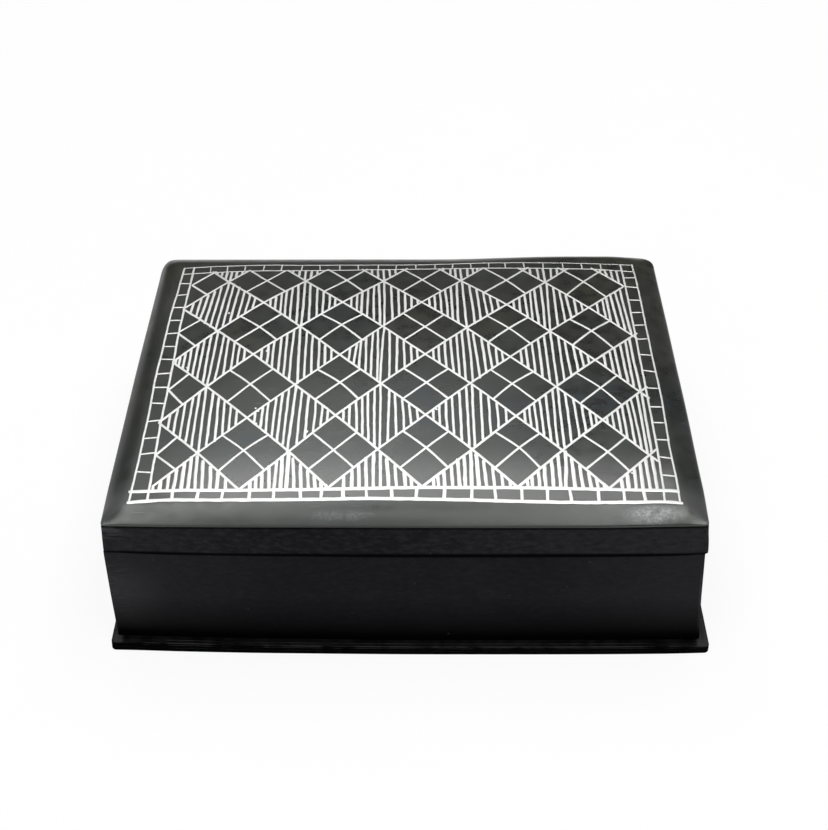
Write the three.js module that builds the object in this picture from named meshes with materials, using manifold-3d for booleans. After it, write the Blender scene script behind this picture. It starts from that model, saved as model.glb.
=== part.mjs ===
// A low rectangular box of blackened zinc alloy with a hinged, gently domed lid.
// Silver wire is let into the lid: a double border of small cells round a diamond lattice,
// whose diamonds are quartered and filled with fine lines by turns.
// Millimetres. X runs to the right, Y to the rear, Z up.
// The origin is the middle of the underside of the base.

import * as THREE from 'three';
import { mergeGeometries, mergeVertices } from 'three/addons/utils/BufferGeometryUtils.js';
import Module from 'manifold-3d';

const wasm = await Module();
wasm.setup();

// Body of the box: outside sizes are taken across the rim
const boxWidth = 152.1;
const boxDepth = 121;
const wallHeight = 31.75;
const wallThickness = 3.2;
const sideLean = 1.45;
const frontLean = 0.4;
const cornerRadius = 0.8;

// Base plate with two fine grooves round its edge
const baseThickness = 2.5;
const baseSideLip = 1.5;
const baseFrontLip = 2.5;
const baseCorner = 1.2;
const edgeGroove = 0.3;

// Lid: a band, and on it a plate with curved margins and a slight crown
const seamGap = 0.3;
const lidOverhang = 0.35;
const lidShift = 0.35;
const bandHeight = 8.3;
const bandFlare = 0.4;
const lidCorner = 1.1;
const plateEdge = 1;
const plateThickness = 3;
const marginWidth = 6.5;
const marginRise = 2.15;
const crownRise = 3.25;

// Velvet-covered linings
const liningGap = 0.3;
const floorLining = 2;
const sideLining = 1.5;
const liningDrop = 1.05;
const lidLining = 2;
const liningRound = 0.6;

// Two butt hinges let into the rear walls
const hingeSpacing = 90;
const hingeWidth = 20;
const knuckleCount = 5;
const knuckleGap = 0.3;
const barrelRadius = 1.6;
const pinRadius = 0.8;
const pinClearance = 0.1;
const pinEnd = 0.4;
const leafThickness = 0.8;
const leafDrop = 8;
const lidLeafRise = 6.4;
const pocketClearance = 0.3;
const pocketEnd = 0.8;
const barrelSides = 16;
const pinSides = 12;
const stopBevel = 50;

// Rivets that hold the hinge leaves
const rivetRadius = 0.7;
const rivetClearance = 0.15;
const rivetHead = 1.3;
const rivetSink = 0.55;
const rivetEndRadius = 1.1;
const rivetEndHeight = 0.35;
const rivetSpacing = 12;
const rivetDrop = 5;
const rivetSides = 10;

// Silver wire in the lid
const borderSideMargin = 6.6;
const borderFrontMargin = 6.9;
const inlayShift = 0.25;
const bandWidth = 3.8;
const borderWire = 0.75;
const latticeWire = 0.62;
const lineWire = 0.52;
const wireDepth = 0.25;
const wireLift = 0.17;
const wireWave = 0.1;
const smallestCell = 1.2;
const shortestEdge = 0.02;
const diamondWidth = 23.7;
const diamondDepth = 26.4;
const latticeStart = 0.4;
const linesPerDiamond = 13;
const frontCells = 21;
const rearCells = 23;
const sideCells = 15;

// Places that several pieces share
const rimZ = baseThickness + wallHeight;
const hingeZ = rimZ + seamGap / 2;
const lidBottomZ = rimZ + seamGap;
const lidEdgeZ = lidBottomZ + bandHeight;
const rimTopZ = lidEdgeZ - plateEdge;
const innerX = boxWidth / 2 - wallThickness;
const innerY = boxDepth / 2 - wallThickness;
const hingeY = boxDepth / 2 - barrelRadius;
const lidHalfX = boxWidth / 2 + lidOverhang - bandFlare;
const lidHalfY = boxDepth / 2 + lidOverhang - bandFlare;
const hingeXs = [-hingeSpacing / 2, hingeSpacing / 2];

// Solids and booleans

function toSolid(geometry) {
  const plain = geometry.clone();
  plain.deleteAttribute('normal');
  plain.deleteAttribute('uv');
  const merged = mergeVertices(plain, 1e-4);
  const vertProperties = new Float32Array(merged.getAttribute('position').array);
  const triVerts = new Uint32Array(merged.index.array);
  return new wasm.Manifold(new wasm.Mesh({ numProp: 3, vertProperties, triVerts }));
}

function toGeometry(solid) {
  const { vertProperties, triVerts } = solid.getMesh();
  const geometry = new THREE.BufferGeometry();
  geometry.setAttribute('position', new THREE.BufferAttribute(vertProperties, 3));
  geometry.setIndex(new THREE.BufferAttribute(triVerts, 1));
  geometry.computeVertexNormals();
  return geometry;
}

function union(solids) {
  let row = solids;
  while (row.length > 1) {
    const next = [];
    for (let i = 0; i < row.length; i += 2) {
      next.push(i + 1 < row.length ? row[i].add(row[i + 1]) : row[i]);
    }
    row = next;
  }
  return row[0];
}

function block(x0, x1, y0, y1, z0, z1) {
  const geometry = new THREE.BoxGeometry(x1 - x0, y1 - y0, z1 - z0);
  geometry.translate((x0 + x1) / 2, (y0 + y1) / 2, (z0 + z1) / 2);
  return toSolid(geometry);
}

// A section drawn in Y and Z, run along X
function alongX(section, x0, x1) {
  const shape = new THREE.Shape(section.map(([y, z]) => new THREE.Vector2(y, z)));
  const geometry = new THREE.ExtrudeGeometry(shape, { depth: x1 - x0, bevelEnabled: false });
  const turn = new THREE.Matrix4().makeBasis(
    new THREE.Vector3(0, 1, 0),
    new THREE.Vector3(0, 0, 1),
    new THREE.Vector3(1, 0, 0),
  );
  geometry.applyMatrix4(turn);
  geometry.translate(x0, 0, 0);
  return toSolid(geometry);
}

function rod(radius, x0, x1, segments) {
  const geometry = new THREE.CylinderGeometry(radius, radius, x1 - x0, segments);
  geometry.rotateZ(Math.PI / 2);
  geometry.translate((x0 + x1) / 2, hingeY, hingeZ);
  return toSolid(geometry);
}

function ring(halfX, halfY, radius, z, steps) {
  const points = [];
  for (let corner = 0; corner < 4; corner += 1) {
    const signX = corner === 0 || corner === 3 ? 1 : -1;
    const signY = corner < 2 ? 1 : -1;
    for (let i = 0; i <= steps; i += 1) {
      const angle = (corner + i / steps) * Math.PI / 2;
      const x = signX * (halfX - radius) + radius * Math.cos(angle);
      const y = signY * (halfY - radius) + radius * Math.sin(angle);
      points.push([x, y, z]);
    }
  }
  return points;
}

// A closed body through rounded rectangles, given from the bottom up
function stack(levels, steps = 3) {
  const rings = levels.map(([z, halfX, halfY, radius]) => ring(halfX, halfY, radius, z, steps));
  const count = rings[0].length;
  const index = [];
  for (let level = 0; level + 1 < rings.length; level += 1) {
    for (let i = 0; i < count; i += 1) {
      const a = level * count + i;
      const b = level * count + ((i + 1) % count);
      index.push(a, b, b + count, a, b + count, a + count);
    }
  }
  const top = (rings.length - 1) * count;
  for (let i = 1; i + 1 < count; i += 1) {
    index.push(0, i + 1, i);
    index.push(top, top + i, top + i + 1);
  }
  const geometry = new THREE.BufferGeometry();
  geometry.setAttribute('position', new THREE.Float32BufferAttribute(rings.flat(2), 3));
  geometry.setIndex(index);
  return geometry;
}

// Lid surface: margins curve up from the edge, and the middle is slightly crowned
function marginShare(distance) {
  const part = Math.min(1, Math.max(0, distance / marginWidth));
  return 1 - (1 - part) ** 2;
}

function lidSurface(x, y) {
  const u = x - lidShift;
  const margins = marginShare(lidHalfX - Math.abs(u)) * marginShare(lidHalfY - Math.abs(y));
  const crownX = Math.max(0, 1 - (u / lidHalfX) ** 2);
  const crownY = Math.max(0, 1 - (y / lidHalfY) ** 2);
  return lidEdgeZ + marginRise * margins + crownRise * crownX * crownY;
}

function gridLines(half, inner) {
  const outer = [0, 0.14, 0.32, 0.53, 0.76].map((share) => half - share * marginWidth);
  const middle = half - marginWidth;
  const lines = [-half - 1, ...outer.map((value) => -value)];
  for (let i = 0; i <= inner; i += 1) {
    lines.push(-middle + (2 * middle * i) / inner);
  }
  return [...lines, ...outer.reverse(), half + 1];
}

// A sheet over a grid, closed between its upper and lower surfaces
function sheet(xs, ys, upper, lower) {
  const nx = xs.length;
  const ny = ys.length;
  const positions = [];
  for (const surface of [lower, upper]) {
    for (const y of ys) {
      for (const x of xs) {
        positions.push(x, y, surface(x, y));
      }
    }
  }
  const over = nx * ny;
  const index = [];
  const quad = (a, b, c, d) => index.push(a, b, c, a, c, d);
  for (let j = 0; j + 1 < ny; j += 1) {
    for (let i = 0; i + 1 < nx; i += 1) {
      const a = j * nx + i;
      quad(a, a + nx, a + nx + 1, a + 1);
      quad(over + a, over + a + 1, over + a + nx + 1, over + a + nx);
    }
  }
  for (let i = 0; i + 1 < nx; i += 1) {
    const back = (ny - 1) * nx + i;
    quad(i, i + 1, over + i + 1, over + i);
    quad(back + 1, back, over + back, over + back + 1);
  }
  for (let j = 0; j + 1 < ny; j += 1) {
    const left = j * nx;
    const right = left + nx - 1;
    quad(left + nx, left, over + left, over + left + nx);
    quad(right, right + nx, over + right + nx, over + right);
  }
  const geometry = new THREE.BufferGeometry();
  geometry.setAttribute('position', new THREE.Float32BufferAttribute(positions, 3));
  geometry.setIndex(index);
  return toSolid(geometry);
}

// Base plate

function basePlate() {
  const halfX = boxWidth / 2 + sideLean + baseSideLip;
  const halfY = boxDepth / 2 + frontLean + baseFrontLip;
  const level = (share, inset) => [
    share * baseThickness,
    halfX - inset,
    halfY - inset,
    baseCorner,
  ];
  return stack([
    level(0, edgeGroove),
    level(0.12, 0),
    level(0.3, 0),
    level(0.38, edgeGroove),
    level(0.46, 0),
    level(0.62, 0),
    level(0.7, edgeGroove),
    level(0.78, 0),
    level(0.92, 0),
    level(1, edgeGroove),
  ]);
}

// Walls of the body, cut from one leaning block

function bodyBlock() {
  const halfX = boxWidth / 2;
  const halfY = boxDepth / 2;
  return toSolid(stack([
    [baseThickness, halfX + sideLean, halfY + frontLean, cornerRadius],
    [rimZ, halfX, halfY, cornerRadius],
  ]));
}

// Front, rear, left and right shares of a hollow block; the front and rear run the full width
function fourSides(outer, shiftX, z0, z1) {
  const far = boxWidth;
  const left = shiftX - innerX;
  const right = shiftX + innerX;
  return {
    front: outer.intersect(block(-far, far, -far, -innerY, z0, z1)),
    rear: outer.intersect(block(-far, far, innerY, far, z0, z1)),
    left: outer.intersect(block(-far, left, -innerY, innerY, z0, z1)),
    right: outer.intersect(block(right, far, -innerY, innerY, z0, z1)),
  };
}

// Hinge pockets, leaf recesses, rivet holes and the bevel that stops the open lid.
// Up is 1 for the lid's side of the seam and -1 for the body's.

function leafReach(up) {
  return up > 0 ? lidLeafRise : leafDrop;
}

function rivetPlaces(centre) {
  return [centre - rivetSpacing / 2, centre + rivetSpacing / 2];
}

function rivetHole(x, up, radius, y0, y1) {
  const geometry = new THREE.CylinderGeometry(radius, radius, y1 - y0, rivetSides);
  geometry.translate(x, (y0 + y1) / 2, hingeZ + up * rivetDrop);
  return toSolid(geometry);
}

function hingeCut(centre, up) {
  const half = hingeWidth / 2;
  const edge = hingeZ + up * (leafReach(up) + pocketClearance);
  const recess = block(
    centre - half - pocketClearance,
    centre + half + pocketClearance,
    innerY - 1,
    innerY + leafThickness,
    Math.min(hingeZ, edge),
    Math.max(hingeZ, edge),
  );
  const pocket = rod(
    barrelRadius + pocketClearance,
    centre - half - pocketEnd,
    centre + half + pocketEnd,
    barrelSides,
  );
  const holes = rivetPlaces(centre).map((x) => (
    rivetHole(x, up, rivetRadius + rivetClearance, innerY, boxDepth)
  ));
  return union([recess, pocket, ...holes]);
}

function bevelCut(up) {
  const reach = 2 * barrelRadius + lidOverhang;
  const start = hingeZ + up * seamGap / 2;
  const rise = reach * Math.tan(THREE.MathUtils.degToRad(stopBevel));
  const section = [
    [hingeY, start],
    [hingeY + reach, start + up * rise],
    [hingeY + reach, start - up],
    [hingeY, start - up],
  ];
  return alongX(up > 0 ? section.reverse() : section, -boxWidth, boxWidth);
}

function withHinges(rear, up) {
  let piece = rear.subtract(bevelCut(up));
  for (const centre of hingeXs) {
    piece = piece.subtract(hingeCut(centre, up));
  }
  return piece;
}

// Hinge leaf with its knuckles; the body has the outer ones and the middle one

function hingeLeaf(centre, up) {
  const pitch = (hingeWidth + knuckleGap) / knuckleCount;
  const knuckle = pitch - knuckleGap;
  const start = centre - hingeWidth / 2;
  const near = hingeZ + up * (barrelRadius + pocketClearance);
  const far = hingeZ + up * leafReach(up);
  const faceY = innerY + leafThickness;
  const parts = [block(
    start,
    start + hingeWidth,
    innerY,
    faceY,
    Math.min(near, far),
    Math.max(near, far),
  )];
  for (let i = up > 0 ? 1 : 0; i < knuckleCount; i += 2) {
    const x0 = start + i * pitch;
    const x1 = x0 + knuckle;
    const low = Math.min(hingeZ, near + up);
    const high = Math.max(hingeZ, near + up);
    parts.push(block(x0, x1, innerY, faceY, low, high));
    parts.push(rod(barrelRadius, x0, x1, barrelSides));
  }
  const bore = rod(pinRadius + pinClearance, start - 1, start + hingeWidth + 1, pinSides);
  const holes = rivetPlaces(centre).map((x) => rivetSeat(x, up));
  return union(parts).subtract(union([bore, ...holes]));
}

function lathed(profile, segments) {
  return new THREE.LatheGeometry(profile.map(([r, h]) => new THREE.Vector2(r, h)), segments);
}

// Countersunk hole through a leaf
function rivetSeat(x, up) {
  const geometry = lathed([
    [0, -1],
    [rivetHead + rivetClearance, -1],
    [rivetHead + rivetClearance, 0],
    [rivetRadius + rivetClearance, rivetSink],
    [rivetRadius + rivetClearance, leafThickness + 1],
    [0, leafThickness + 1],
  ], rivetSides);
  geometry.translate(x, innerY, hingeZ + up * rivetDrop);
  return toSolid(geometry);
}

// Rivet from the leaf's face out through the wall, with its end closed over
function rivet(x, up) {
  const z = hingeZ + up * rivetDrop;
  const bodySlope = frontLean / wallHeight;
  const bodyFace = boxDepth / 2 + bodySlope * (rimZ - z + rivetEndRadius);
  const lidSlope = bandFlare / bandHeight;
  const lidFace = boxDepth / 2 + lidOverhang - lidSlope * (z - rivetEndRadius - lidBottomZ);
  const length = (up > 0 ? lidFace : bodyFace) - innerY + 0.05;
  const geometry = lathed([
    [0, 0],
    [rivetHead, 0],
    [rivetRadius, rivetSink],
    [rivetRadius, length],
    [rivetEndRadius, length],
    [rivetEndRadius * 0.75, length + rivetEndHeight * 0.7],
    [0, length + rivetEndHeight],
  ], rivetSides);
  geometry.translate(x, innerY, z);
  return geometry;
}

function hingePin(centre) {
  const half = hingeWidth / 2;
  const geometry = lathed([
    [0, -half - pinEnd],
    [pinRadius * 0.7, -half - pinEnd],
    [pinRadius, -half - pinEnd / 2],
    [pinRadius, half + pinEnd / 2],
    [pinRadius * 0.7, half + pinEnd],
    [0, half + pinEnd],
  ], pinSides);
  geometry.rotateZ(-Math.PI / 2);
  geometry.translate(centre, hingeY, hingeZ);
  return geometry;
}

// Linings: padded cards with softened edges

function card(halfX, halfY, z0, z1, radius) {
  const soft = 0.7 * Math.min(radius, z1 - z0);
  const level = (z, inset) => [z, halfX - inset, halfY - inset, radius - inset];
  return stack([
    level(z0, 0),
    level(z1 - soft, 0),
    level(z1 - soft * 0.3, soft * 0.3),
    level(z1, soft),
  ], 2);
}

function standingCard(halfLength, thickness, z0, z1) {
  return card(halfLength, thickness / 2, z0, z1, Math.min(liningRound, thickness / 2.5));
}

// The silver wires touch one another, so they are one net: an outline with a hole for each dark
// cell between wires, drawn flat and then laid over the lid's surface

const outerHalfX = lidHalfX - borderSideMargin;
const outerHalfY = lidHalfY - borderFrontMargin;
const innerHalfX = outerHalfX - bandWidth;
const innerHalfY = outerHalfY - bandWidth;
const inlayX = lidShift + inlayShift;

function clipped(points, nx, ny, limit) {
  const kept = [];
  points.forEach(([x, y], i) => {
    const [px, py] = points[(i + points.length - 1) % points.length];
    const here = nx * x + ny * y - limit;
    const before = nx * px + ny * py - limit;
    if (here * before < 0) {
      const share = before / (before - here);
      kept.push([px + (x - px) * share, py + (y - py) * share]);
    }
    if (here <= 0) {
      kept.push([x, y]);
    }
  });
  return kept;
}

function clippedToBox(points, x0, x1, y0, y1) {
  const sides = [[-1, 0, -x0], [1, 0, x1], [0, -1, -y0], [0, 1, y1]];
  return sides.reduce((rest, [nx, ny, limit]) => clipped(rest, nx, ny, limit), points);
}

// Without points that nearly coincide
function tidied(points) {
  return points.filter(([x, y], i) => {
    const [px, py] = points[(i + points.length - 1) % points.length];
    return Math.hypot(x - px, y - py) > shortestEdge;
  });
}

function area(points) {
  const vectors = points.map(([x, y]) => new THREE.Vector2(x, y));
  return Math.abs(THREE.ShapeUtils.area(vectors));
}

function steps(from, to, count) {
  const places = [];
  for (let i = 0; i <= count; i += 1) {
    places.push(from + ((to - from) * i) / count);
  }
  return places;
}

function rectangle(x0, x1, y0, y1) {
  return [[x0, y0], [x1, y0], [x1, y1], [x0, y1]];
}

// Cells between the two border wires along one stretch, across [a, b] and divided at the places
function bandCells(places, a, b, turned) {
  const low = Math.min(a, b) + borderWire / 2;
  const high = Math.max(a, b) - borderWire / 2;
  const cells = [];
  for (let i = 0; i + 1 < places.length; i += 1) {
    const from = places[i] + latticeWire / 2;
    const to = places[i + 1] - latticeWire / 2;
    cells.push(turned ? rectangle(low, high, from, to) : rectangle(from, to, low, high));
  }
  return cells;
}

function borderPlaces(halfX, count) {
  const inner = steps(inlayX - innerHalfX, inlayX + innerHalfX, count);
  return [inlayX - halfX, ...inner, inlayX + halfX];
}

const frontPlaces = borderPlaces(outerHalfX, frontCells);
const rearPlaces = borderPlaces(outerHalfX, rearCells);
const sidePlaces = steps(-innerHalfY, innerHalfY, sideCells);

function borderCells() {
  return [
    ...bandCells(frontPlaces, -outerHalfY, -innerHalfY, false),
    ...bandCells(rearPlaces, innerHalfY, outerHalfY, false),
    ...bandCells(sidePlaces, inlayX - outerHalfX, inlayX - innerHalfX, true),
    ...bandCells(sidePlaces, inlayX + innerHalfX, inlayX + outerHalfX, true),
  ];
}

// A diamond drawn in by half a wire on every side
function diamond(x, y, halfX, halfY) {
  const inset = (latticeWire / 2) * Math.hypot(halfX, halfY) / (halfX * halfY);
  const a = halfX * (1 - inset);
  const b = halfY * (1 - inset);
  return [[x, y - b], [x + a, y], [x, y + b], [x - a, y]];
}

// Offset 0 gives the centres of the lined diamonds and 0.5 those of the quartered ones
function diamondCentres(offset) {
  const left = inlayX - innerHalfX + diamondWidth * (0.5 - offset);
  const front = -innerHalfY + latticeStart + offset * diamondDepth;
  const places = [];
  for (let y = front; y < innerHalfY + diamondDepth / 2; y += diamondDepth) {
    for (let x = left; x < inlayX + innerHalfX + diamondWidth / 2; x += diamondWidth) {
      places.push([x, y]);
    }
  }
  return places;
}

function linedCells([x, y]) {
  const outline = diamond(x, y, diamondWidth / 2, diamondDepth / 2);
  const pitch = diamondWidth / (linesPerDiamond + 1);
  const lines = steps(x - diamondWidth / 2, x + diamondWidth / 2, linesPerDiamond + 1);
  return lines.slice(0, -1).map((line) => clippedToBox(
    outline,
    line + lineWire / 2,
    line + pitch - lineWire / 2,
    y - diamondDepth,
    y + diamondDepth,
  ));
}

function quarteredCells([x, y]) {
  const a = diamondWidth / 4;
  const b = diamondDepth / 4;
  return [[-a, 0], [a, 0], [0, -b], [0, b]].map(([dx, dy]) => diamond(x + dx, y + dy, a, b));
}

function latticeCells() {
  const reachX = innerHalfX - borderWire / 2;
  const reachY = innerHalfY - borderWire / 2;
  const cells = [
    ...diamondCentres(0).flatMap(linedCells),
    ...diamondCentres(0.5).flatMap(quarteredCells),
  ];
  return cells
    .map((cell) => clippedToBox(cell, inlayX - reachX, inlayX + reachX, -reachY, reachY))
    .map(tidied)
    .filter((cell) => cell.length > 2 && area(cell) > smallestCell);
}

function netOutline() {
  const x0 = inlayX - outerHalfX;
  const x1 = inlayX + outerHalfX;
  const edge = borderWire / 2;
  const wave = (i) => edge + wireWave * Math.sin(2.4 * i);
  const front = frontPlaces.slice(1, -1).map((x, i) => [x, -outerHalfY - wave(i)]);
  const right = sidePlaces.map((y, i) => [x1 + wave(i + 1), y]);
  const rear = rearPlaces.slice(1, -1).map((x, i) => [x, outerHalfY + wave(i)]).reverse();
  const left = sidePlaces.map((y, i) => [x0 - wave(i + 2), y]).reverse();
  const [a, b, c, d] = rectangle(x0 - edge, x1 + edge, -outerHalfY - edge, outerHalfY + edge);
  return [a, ...front, b, ...right, c, ...rear, d, ...left];
}

function prism(points, z0, z1) {
  const shape = new THREE.Shape(points.map(([x, y]) => new THREE.Vector2(x, y)));
  const geometry = new THREE.ExtrudeGeometry(shape, { depth: z1 - z0, bevelEnabled: false });
  return geometry.translate(0, 0, z0);
}

function silverNet() {
  const cells = [...borderCells(), ...latticeCells()];
  const holes = mergeGeometries(cells.map((cell) => prism(cell, -1, wireDepth + 1)));
  const net = toSolid(prism(netOutline(), 0, wireDepth)).subtract(toSolid(holes));
  const geometry = toGeometry(net);
  const position = geometry.getAttribute('position');
  for (let i = 0; i < position.count; i += 1) {
    const height = lidSurface(position.getX(i), position.getY(i)) + wireLift;
    position.setZ(i, position.getZ(i) + height);
  }
  geometry.computeVertexNormals();
  return geometry;
}

// Lid plate: the domed surface above, a flat seat for the rims below, hollowed to an even thickness

function lidPlate(outer) {
  const xs = gridLines(lidHalfX, 12).map((x) => x + lidShift);
  const ys = gridLines(lidHalfY, 10);
  const far = boxWidth;
  const above = outer.intersect(block(-far, far, -far, far, rimTopZ, far));
  const solid = above.intersect(sheet(xs, ys, lidSurface, () => 0));
  const hollow = sheet(
    steps(lidShift - innerX, lidShift + innerX, 8),
    steps(-innerY, innerY, 7),
    (x, y) => Math.max(rimTopZ - 0.5, lidSurface(x, y) - plateThickness),
    () => rimTopZ - 1,
  );
  return solid.subtract(hollow);
}

function lidBlock() {
  const low = [boxWidth / 2 + lidOverhang, boxDepth / 2 + lidOverhang];
  const geometry = stack([
    [lidBottomZ, ...low, lidCorner],
    [lidEdgeZ, lidHalfX, lidHalfY, lidCorner],
    [lidEdgeZ + marginRise + crownRise + 1, lidHalfX, lidHalfY, lidCorner],
  ]);
  geometry.translate(lidShift, 0, 0);
  return toSolid(geometry);
}

// Finishes

const blackAlloy = { color: 0x2b2c2d, roughness: 0.42, metalness: 0.7 };
const silver = { color: 0xe6e6e0, roughness: 0.35, metalness: 0.9 };
const brass = { color: 0xb08d4c, roughness: 0.38, metalness: 0.9 };
const velvet = { color: 0x5a1420, roughness: 0.95, metalness: 0 };

function addPiece(group, name, shape, finish) {
  const geometry = shape.isBufferGeometry ? shape : toGeometry(shape);
  const mesh = new THREE.Mesh(geometry, new THREE.MeshStandardMaterial(finish));
  mesh.name = name;
  group.add(mesh);
  return mesh;
}

// Assembly

const box = new THREE.Group();
const lid = new THREE.Group();
box.add(lid);

addPiece(box, 'base_plate', basePlate(), blackAlloy);

const walls = fourSides(bodyBlock(), 0, 0, rimZ + 1);
addPiece(box, 'front_wall', walls.front, blackAlloy);
addPiece(box, 'rear_wall', withHinges(walls.rear, -1), blackAlloy);
addPiece(box, 'left_wall', walls.left, blackAlloy);
addPiece(box, 'right_wall', walls.right, blackAlloy);

const floorZ = baseThickness + liningGap;
const cardX = innerX - liningGap;
const cardY = innerY - liningGap;
const floorCard = card(cardX, cardY, floorZ, floorZ + floorLining, liningRound);
addPiece(box, 'floor_lining', floorCard, velvet);

const cardZ0 = floorZ + floorLining + liningGap;
const cardZ1 = rimZ - liningDrop;
const sideHalf = cardY - sideLining - liningGap;
for (const [name, side] of [['front_lining', -1], ['rear_lining', 1]]) {
  const shape = standingCard(cardX, sideLining, cardZ0, cardZ1);
  const mesh = addPiece(box, name, shape, velvet);
  mesh.position.y = side * (cardY - sideLining / 2);
}
for (const [name, side] of [['left_lining', -1], ['right_lining', 1]]) {
  const shape = standingCard(sideHalf, sideLining, cardZ0, cardZ1);
  const mesh = addPiece(box, name, shape, velvet);
  mesh.rotation.z = Math.PI / 2;
  mesh.position.x = side * (cardX - sideLining / 2);
}

const lidOuter = lidBlock();
addPiece(lid, 'lid_plate', lidPlate(lidOuter), blackAlloy);

const rims = fourSides(lidOuter, lidShift, lidBottomZ - 1, rimTopZ);
addPiece(lid, 'lid_front_rim', rims.front, blackAlloy);
addPiece(lid, 'lid_rear_rim', withHinges(rims.rear, 1), blackAlloy);
addPiece(lid, 'lid_left_rim', rims.left, blackAlloy);
addPiece(lid, 'lid_right_rim', rims.right, blackAlloy);

const lidCardTop = rimTopZ - liningGap;
const lidCard = card(cardX, cardY, -lidCardTop, lidLining - lidCardTop, liningRound);
lidCard.rotateX(Math.PI);
lidCard.translate(lidShift, 0, 0);
addPiece(lid, 'lid_lining', lidCard, velvet);

addPiece(lid, 'silver_inlay', silverNet(), silver);

const sideNames = ['left', 'right'];
for (const [i, centre] of hingeXs.entries()) {
  const side = sideNames[i];
  addPiece(box, `hinge_${side}_body_leaf`, hingeLeaf(centre, -1), brass);
  addPiece(lid, `hinge_${side}_lid_leaf`, hingeLeaf(centre, 1), brass);
  addPiece(box, `hinge_${side}_pin`, hingePin(centre), brass);
  for (const [j, x] of rivetPlaces(centre).entries()) {
    addPiece(box, `rivet_${side}_body_${j + 1}`, rivet(x, -1), brass);
    addPiece(lid, `rivet_${side}_lid_${j + 1}`, rivet(x, 1), brass);
  }
}

export default box;
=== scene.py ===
import math
import random

import bmesh
import bpy
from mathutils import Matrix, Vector, noise


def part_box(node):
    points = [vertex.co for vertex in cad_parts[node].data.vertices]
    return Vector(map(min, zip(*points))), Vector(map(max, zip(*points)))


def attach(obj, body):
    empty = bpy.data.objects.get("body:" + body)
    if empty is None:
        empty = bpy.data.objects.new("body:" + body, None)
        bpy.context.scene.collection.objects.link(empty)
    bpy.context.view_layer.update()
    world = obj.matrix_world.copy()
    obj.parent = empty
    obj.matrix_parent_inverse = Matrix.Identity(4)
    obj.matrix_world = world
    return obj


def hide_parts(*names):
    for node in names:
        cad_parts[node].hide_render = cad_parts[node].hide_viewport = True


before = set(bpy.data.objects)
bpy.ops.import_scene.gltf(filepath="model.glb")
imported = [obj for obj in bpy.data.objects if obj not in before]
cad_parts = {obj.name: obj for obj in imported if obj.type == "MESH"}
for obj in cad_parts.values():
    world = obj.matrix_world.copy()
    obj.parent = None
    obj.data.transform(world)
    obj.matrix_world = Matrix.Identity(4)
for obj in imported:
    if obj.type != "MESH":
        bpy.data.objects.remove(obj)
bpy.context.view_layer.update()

# Sizes of the box, in metres

MM = 0.001
WALL_HALF_X, WALL_HALF_Y = 0.07605, 0.0605
SIDE_LEAN, FRONT_LEAN = 0.00145, 0.0004
INNER_X, INNER_Y = 0.07285, 0.0573
CORNER = 0.0008
BASE_HALF_X, BASE_HALF_Y, BASE_TOP, BASE_CORNER = 0.079, 0.0634, 0.0025, 0.0012
BEAD_TOP = 0.00256
RIM_Z, HINGE_Z, LID_BOTTOM, PLATE_BOTTOM, LID_EDGE = 0.03425, 0.0344, 0.03455, 0.04185, 0.04285
LID_X, LID_HALF_X, LID_HALF_Y = 0.00035, 0.076, 0.06045
LID_FLARE, LID_FLARE_TOP = 0.0004, 0.00005
BAND_CORNER, BAND_SOFT = 0.0003, 0.0006
PLATE_CORNERS = {(-1, -1): 0.0010, (1, -1): 0.0013, (-1, 1): 0.0075, (1, 1): 0.0045}
CORNER_FROM, CORNER_TO = 0.0352, 0.0415
MARGIN, MARGIN_RISE, CROWN_RISE = 0.0065, 0.00215, 0.00325
PLATE_STEP, PLATE_SOFT, PAD_STEP = 0.0011, 0.0011, 0.0015
HINGE_Y, HINGE_XS, HINGE_HALF = 0.0589, (-0.045, 0.045), 0.010
BARREL, LEAF, PIN, PIN_PAST = 0.0016, 0.0008, 0.0008, 0.0004
KNUCKLES, KNUCKLE_GAP = 5, 0.0003
LEAF_REACH = {"lid": 0.0064, "body": 0.008}
RIVET_FACE = {"lid": 0.0609, "body": 0.0606}
RIVET_ASIDE, RIVET_AWAY = 0.006, 0.005
EDGE_ROUND, HAIR_ROUND, LEAF_ROUND = 0.0002, 0.00012, 0.00008
REAR_LIFT = 0.00115
UNEVEN_DEPTH = 0.0030

random.seed(11)


# Shape helpers

def smooth(low, high, value):
    part = min(1.0, max(0.0, (value - low) / (high - low)))
    return part * part * (3 - 2 * part)


def wave(x, y, z, scale, seed):
    """A smooth random value of about -1 to 1 whose swells are about scale metres across."""
    return noise.noise(Vector((x / scale + seed, y / scale - seed, z / scale + 0.37 * seed)))


def spline(p0, p1, p2, p3, t):
    """The value at t between p1 and p2, on a smooth line through all four."""
    line = 2 * p1 + (p2 - p0) * t + (2 * p0 - 5 * p1 + 4 * p2 - p3) * t * t
    return (line + (3 * p1 - p0 - 3 * p2 + p3) * t ** 3) / 2


def margin_share(distance):
    part = min(1.0, max(0.0, distance / MARGIN))
    return 1 - (1 - part) ** 2


def lid_surface(x, y):
    """Height of the lid's dome: curved margins and a slight crown, with hand-filed unevenness."""
    u = x - LID_X
    margins = margin_share(LID_HALF_X - abs(u)) * margin_share(LID_HALF_Y - abs(y))
    crown = max(0.0, 1 - (u / LID_HALF_X) ** 2) * max(0.0, 1 - (y / LID_HALF_Y) ** 2)
    uneven = 0.00007 * wave(x, y, 0, 0.035, 3.1) + 0.00002 * wave(x, y, 0, 0.011, 8.7)
    lift = REAR_LIFT * smooth(0.008, 0.052, x) * (1 - 0.6 * smooth(0.063, 0.076, x))
    lift *= smooth(0.0545, 0.0600, y)
    return LID_EDGE + MARGIN_RISE * margins + CROWN_RISE * crown + uneven * margins + lift


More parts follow.
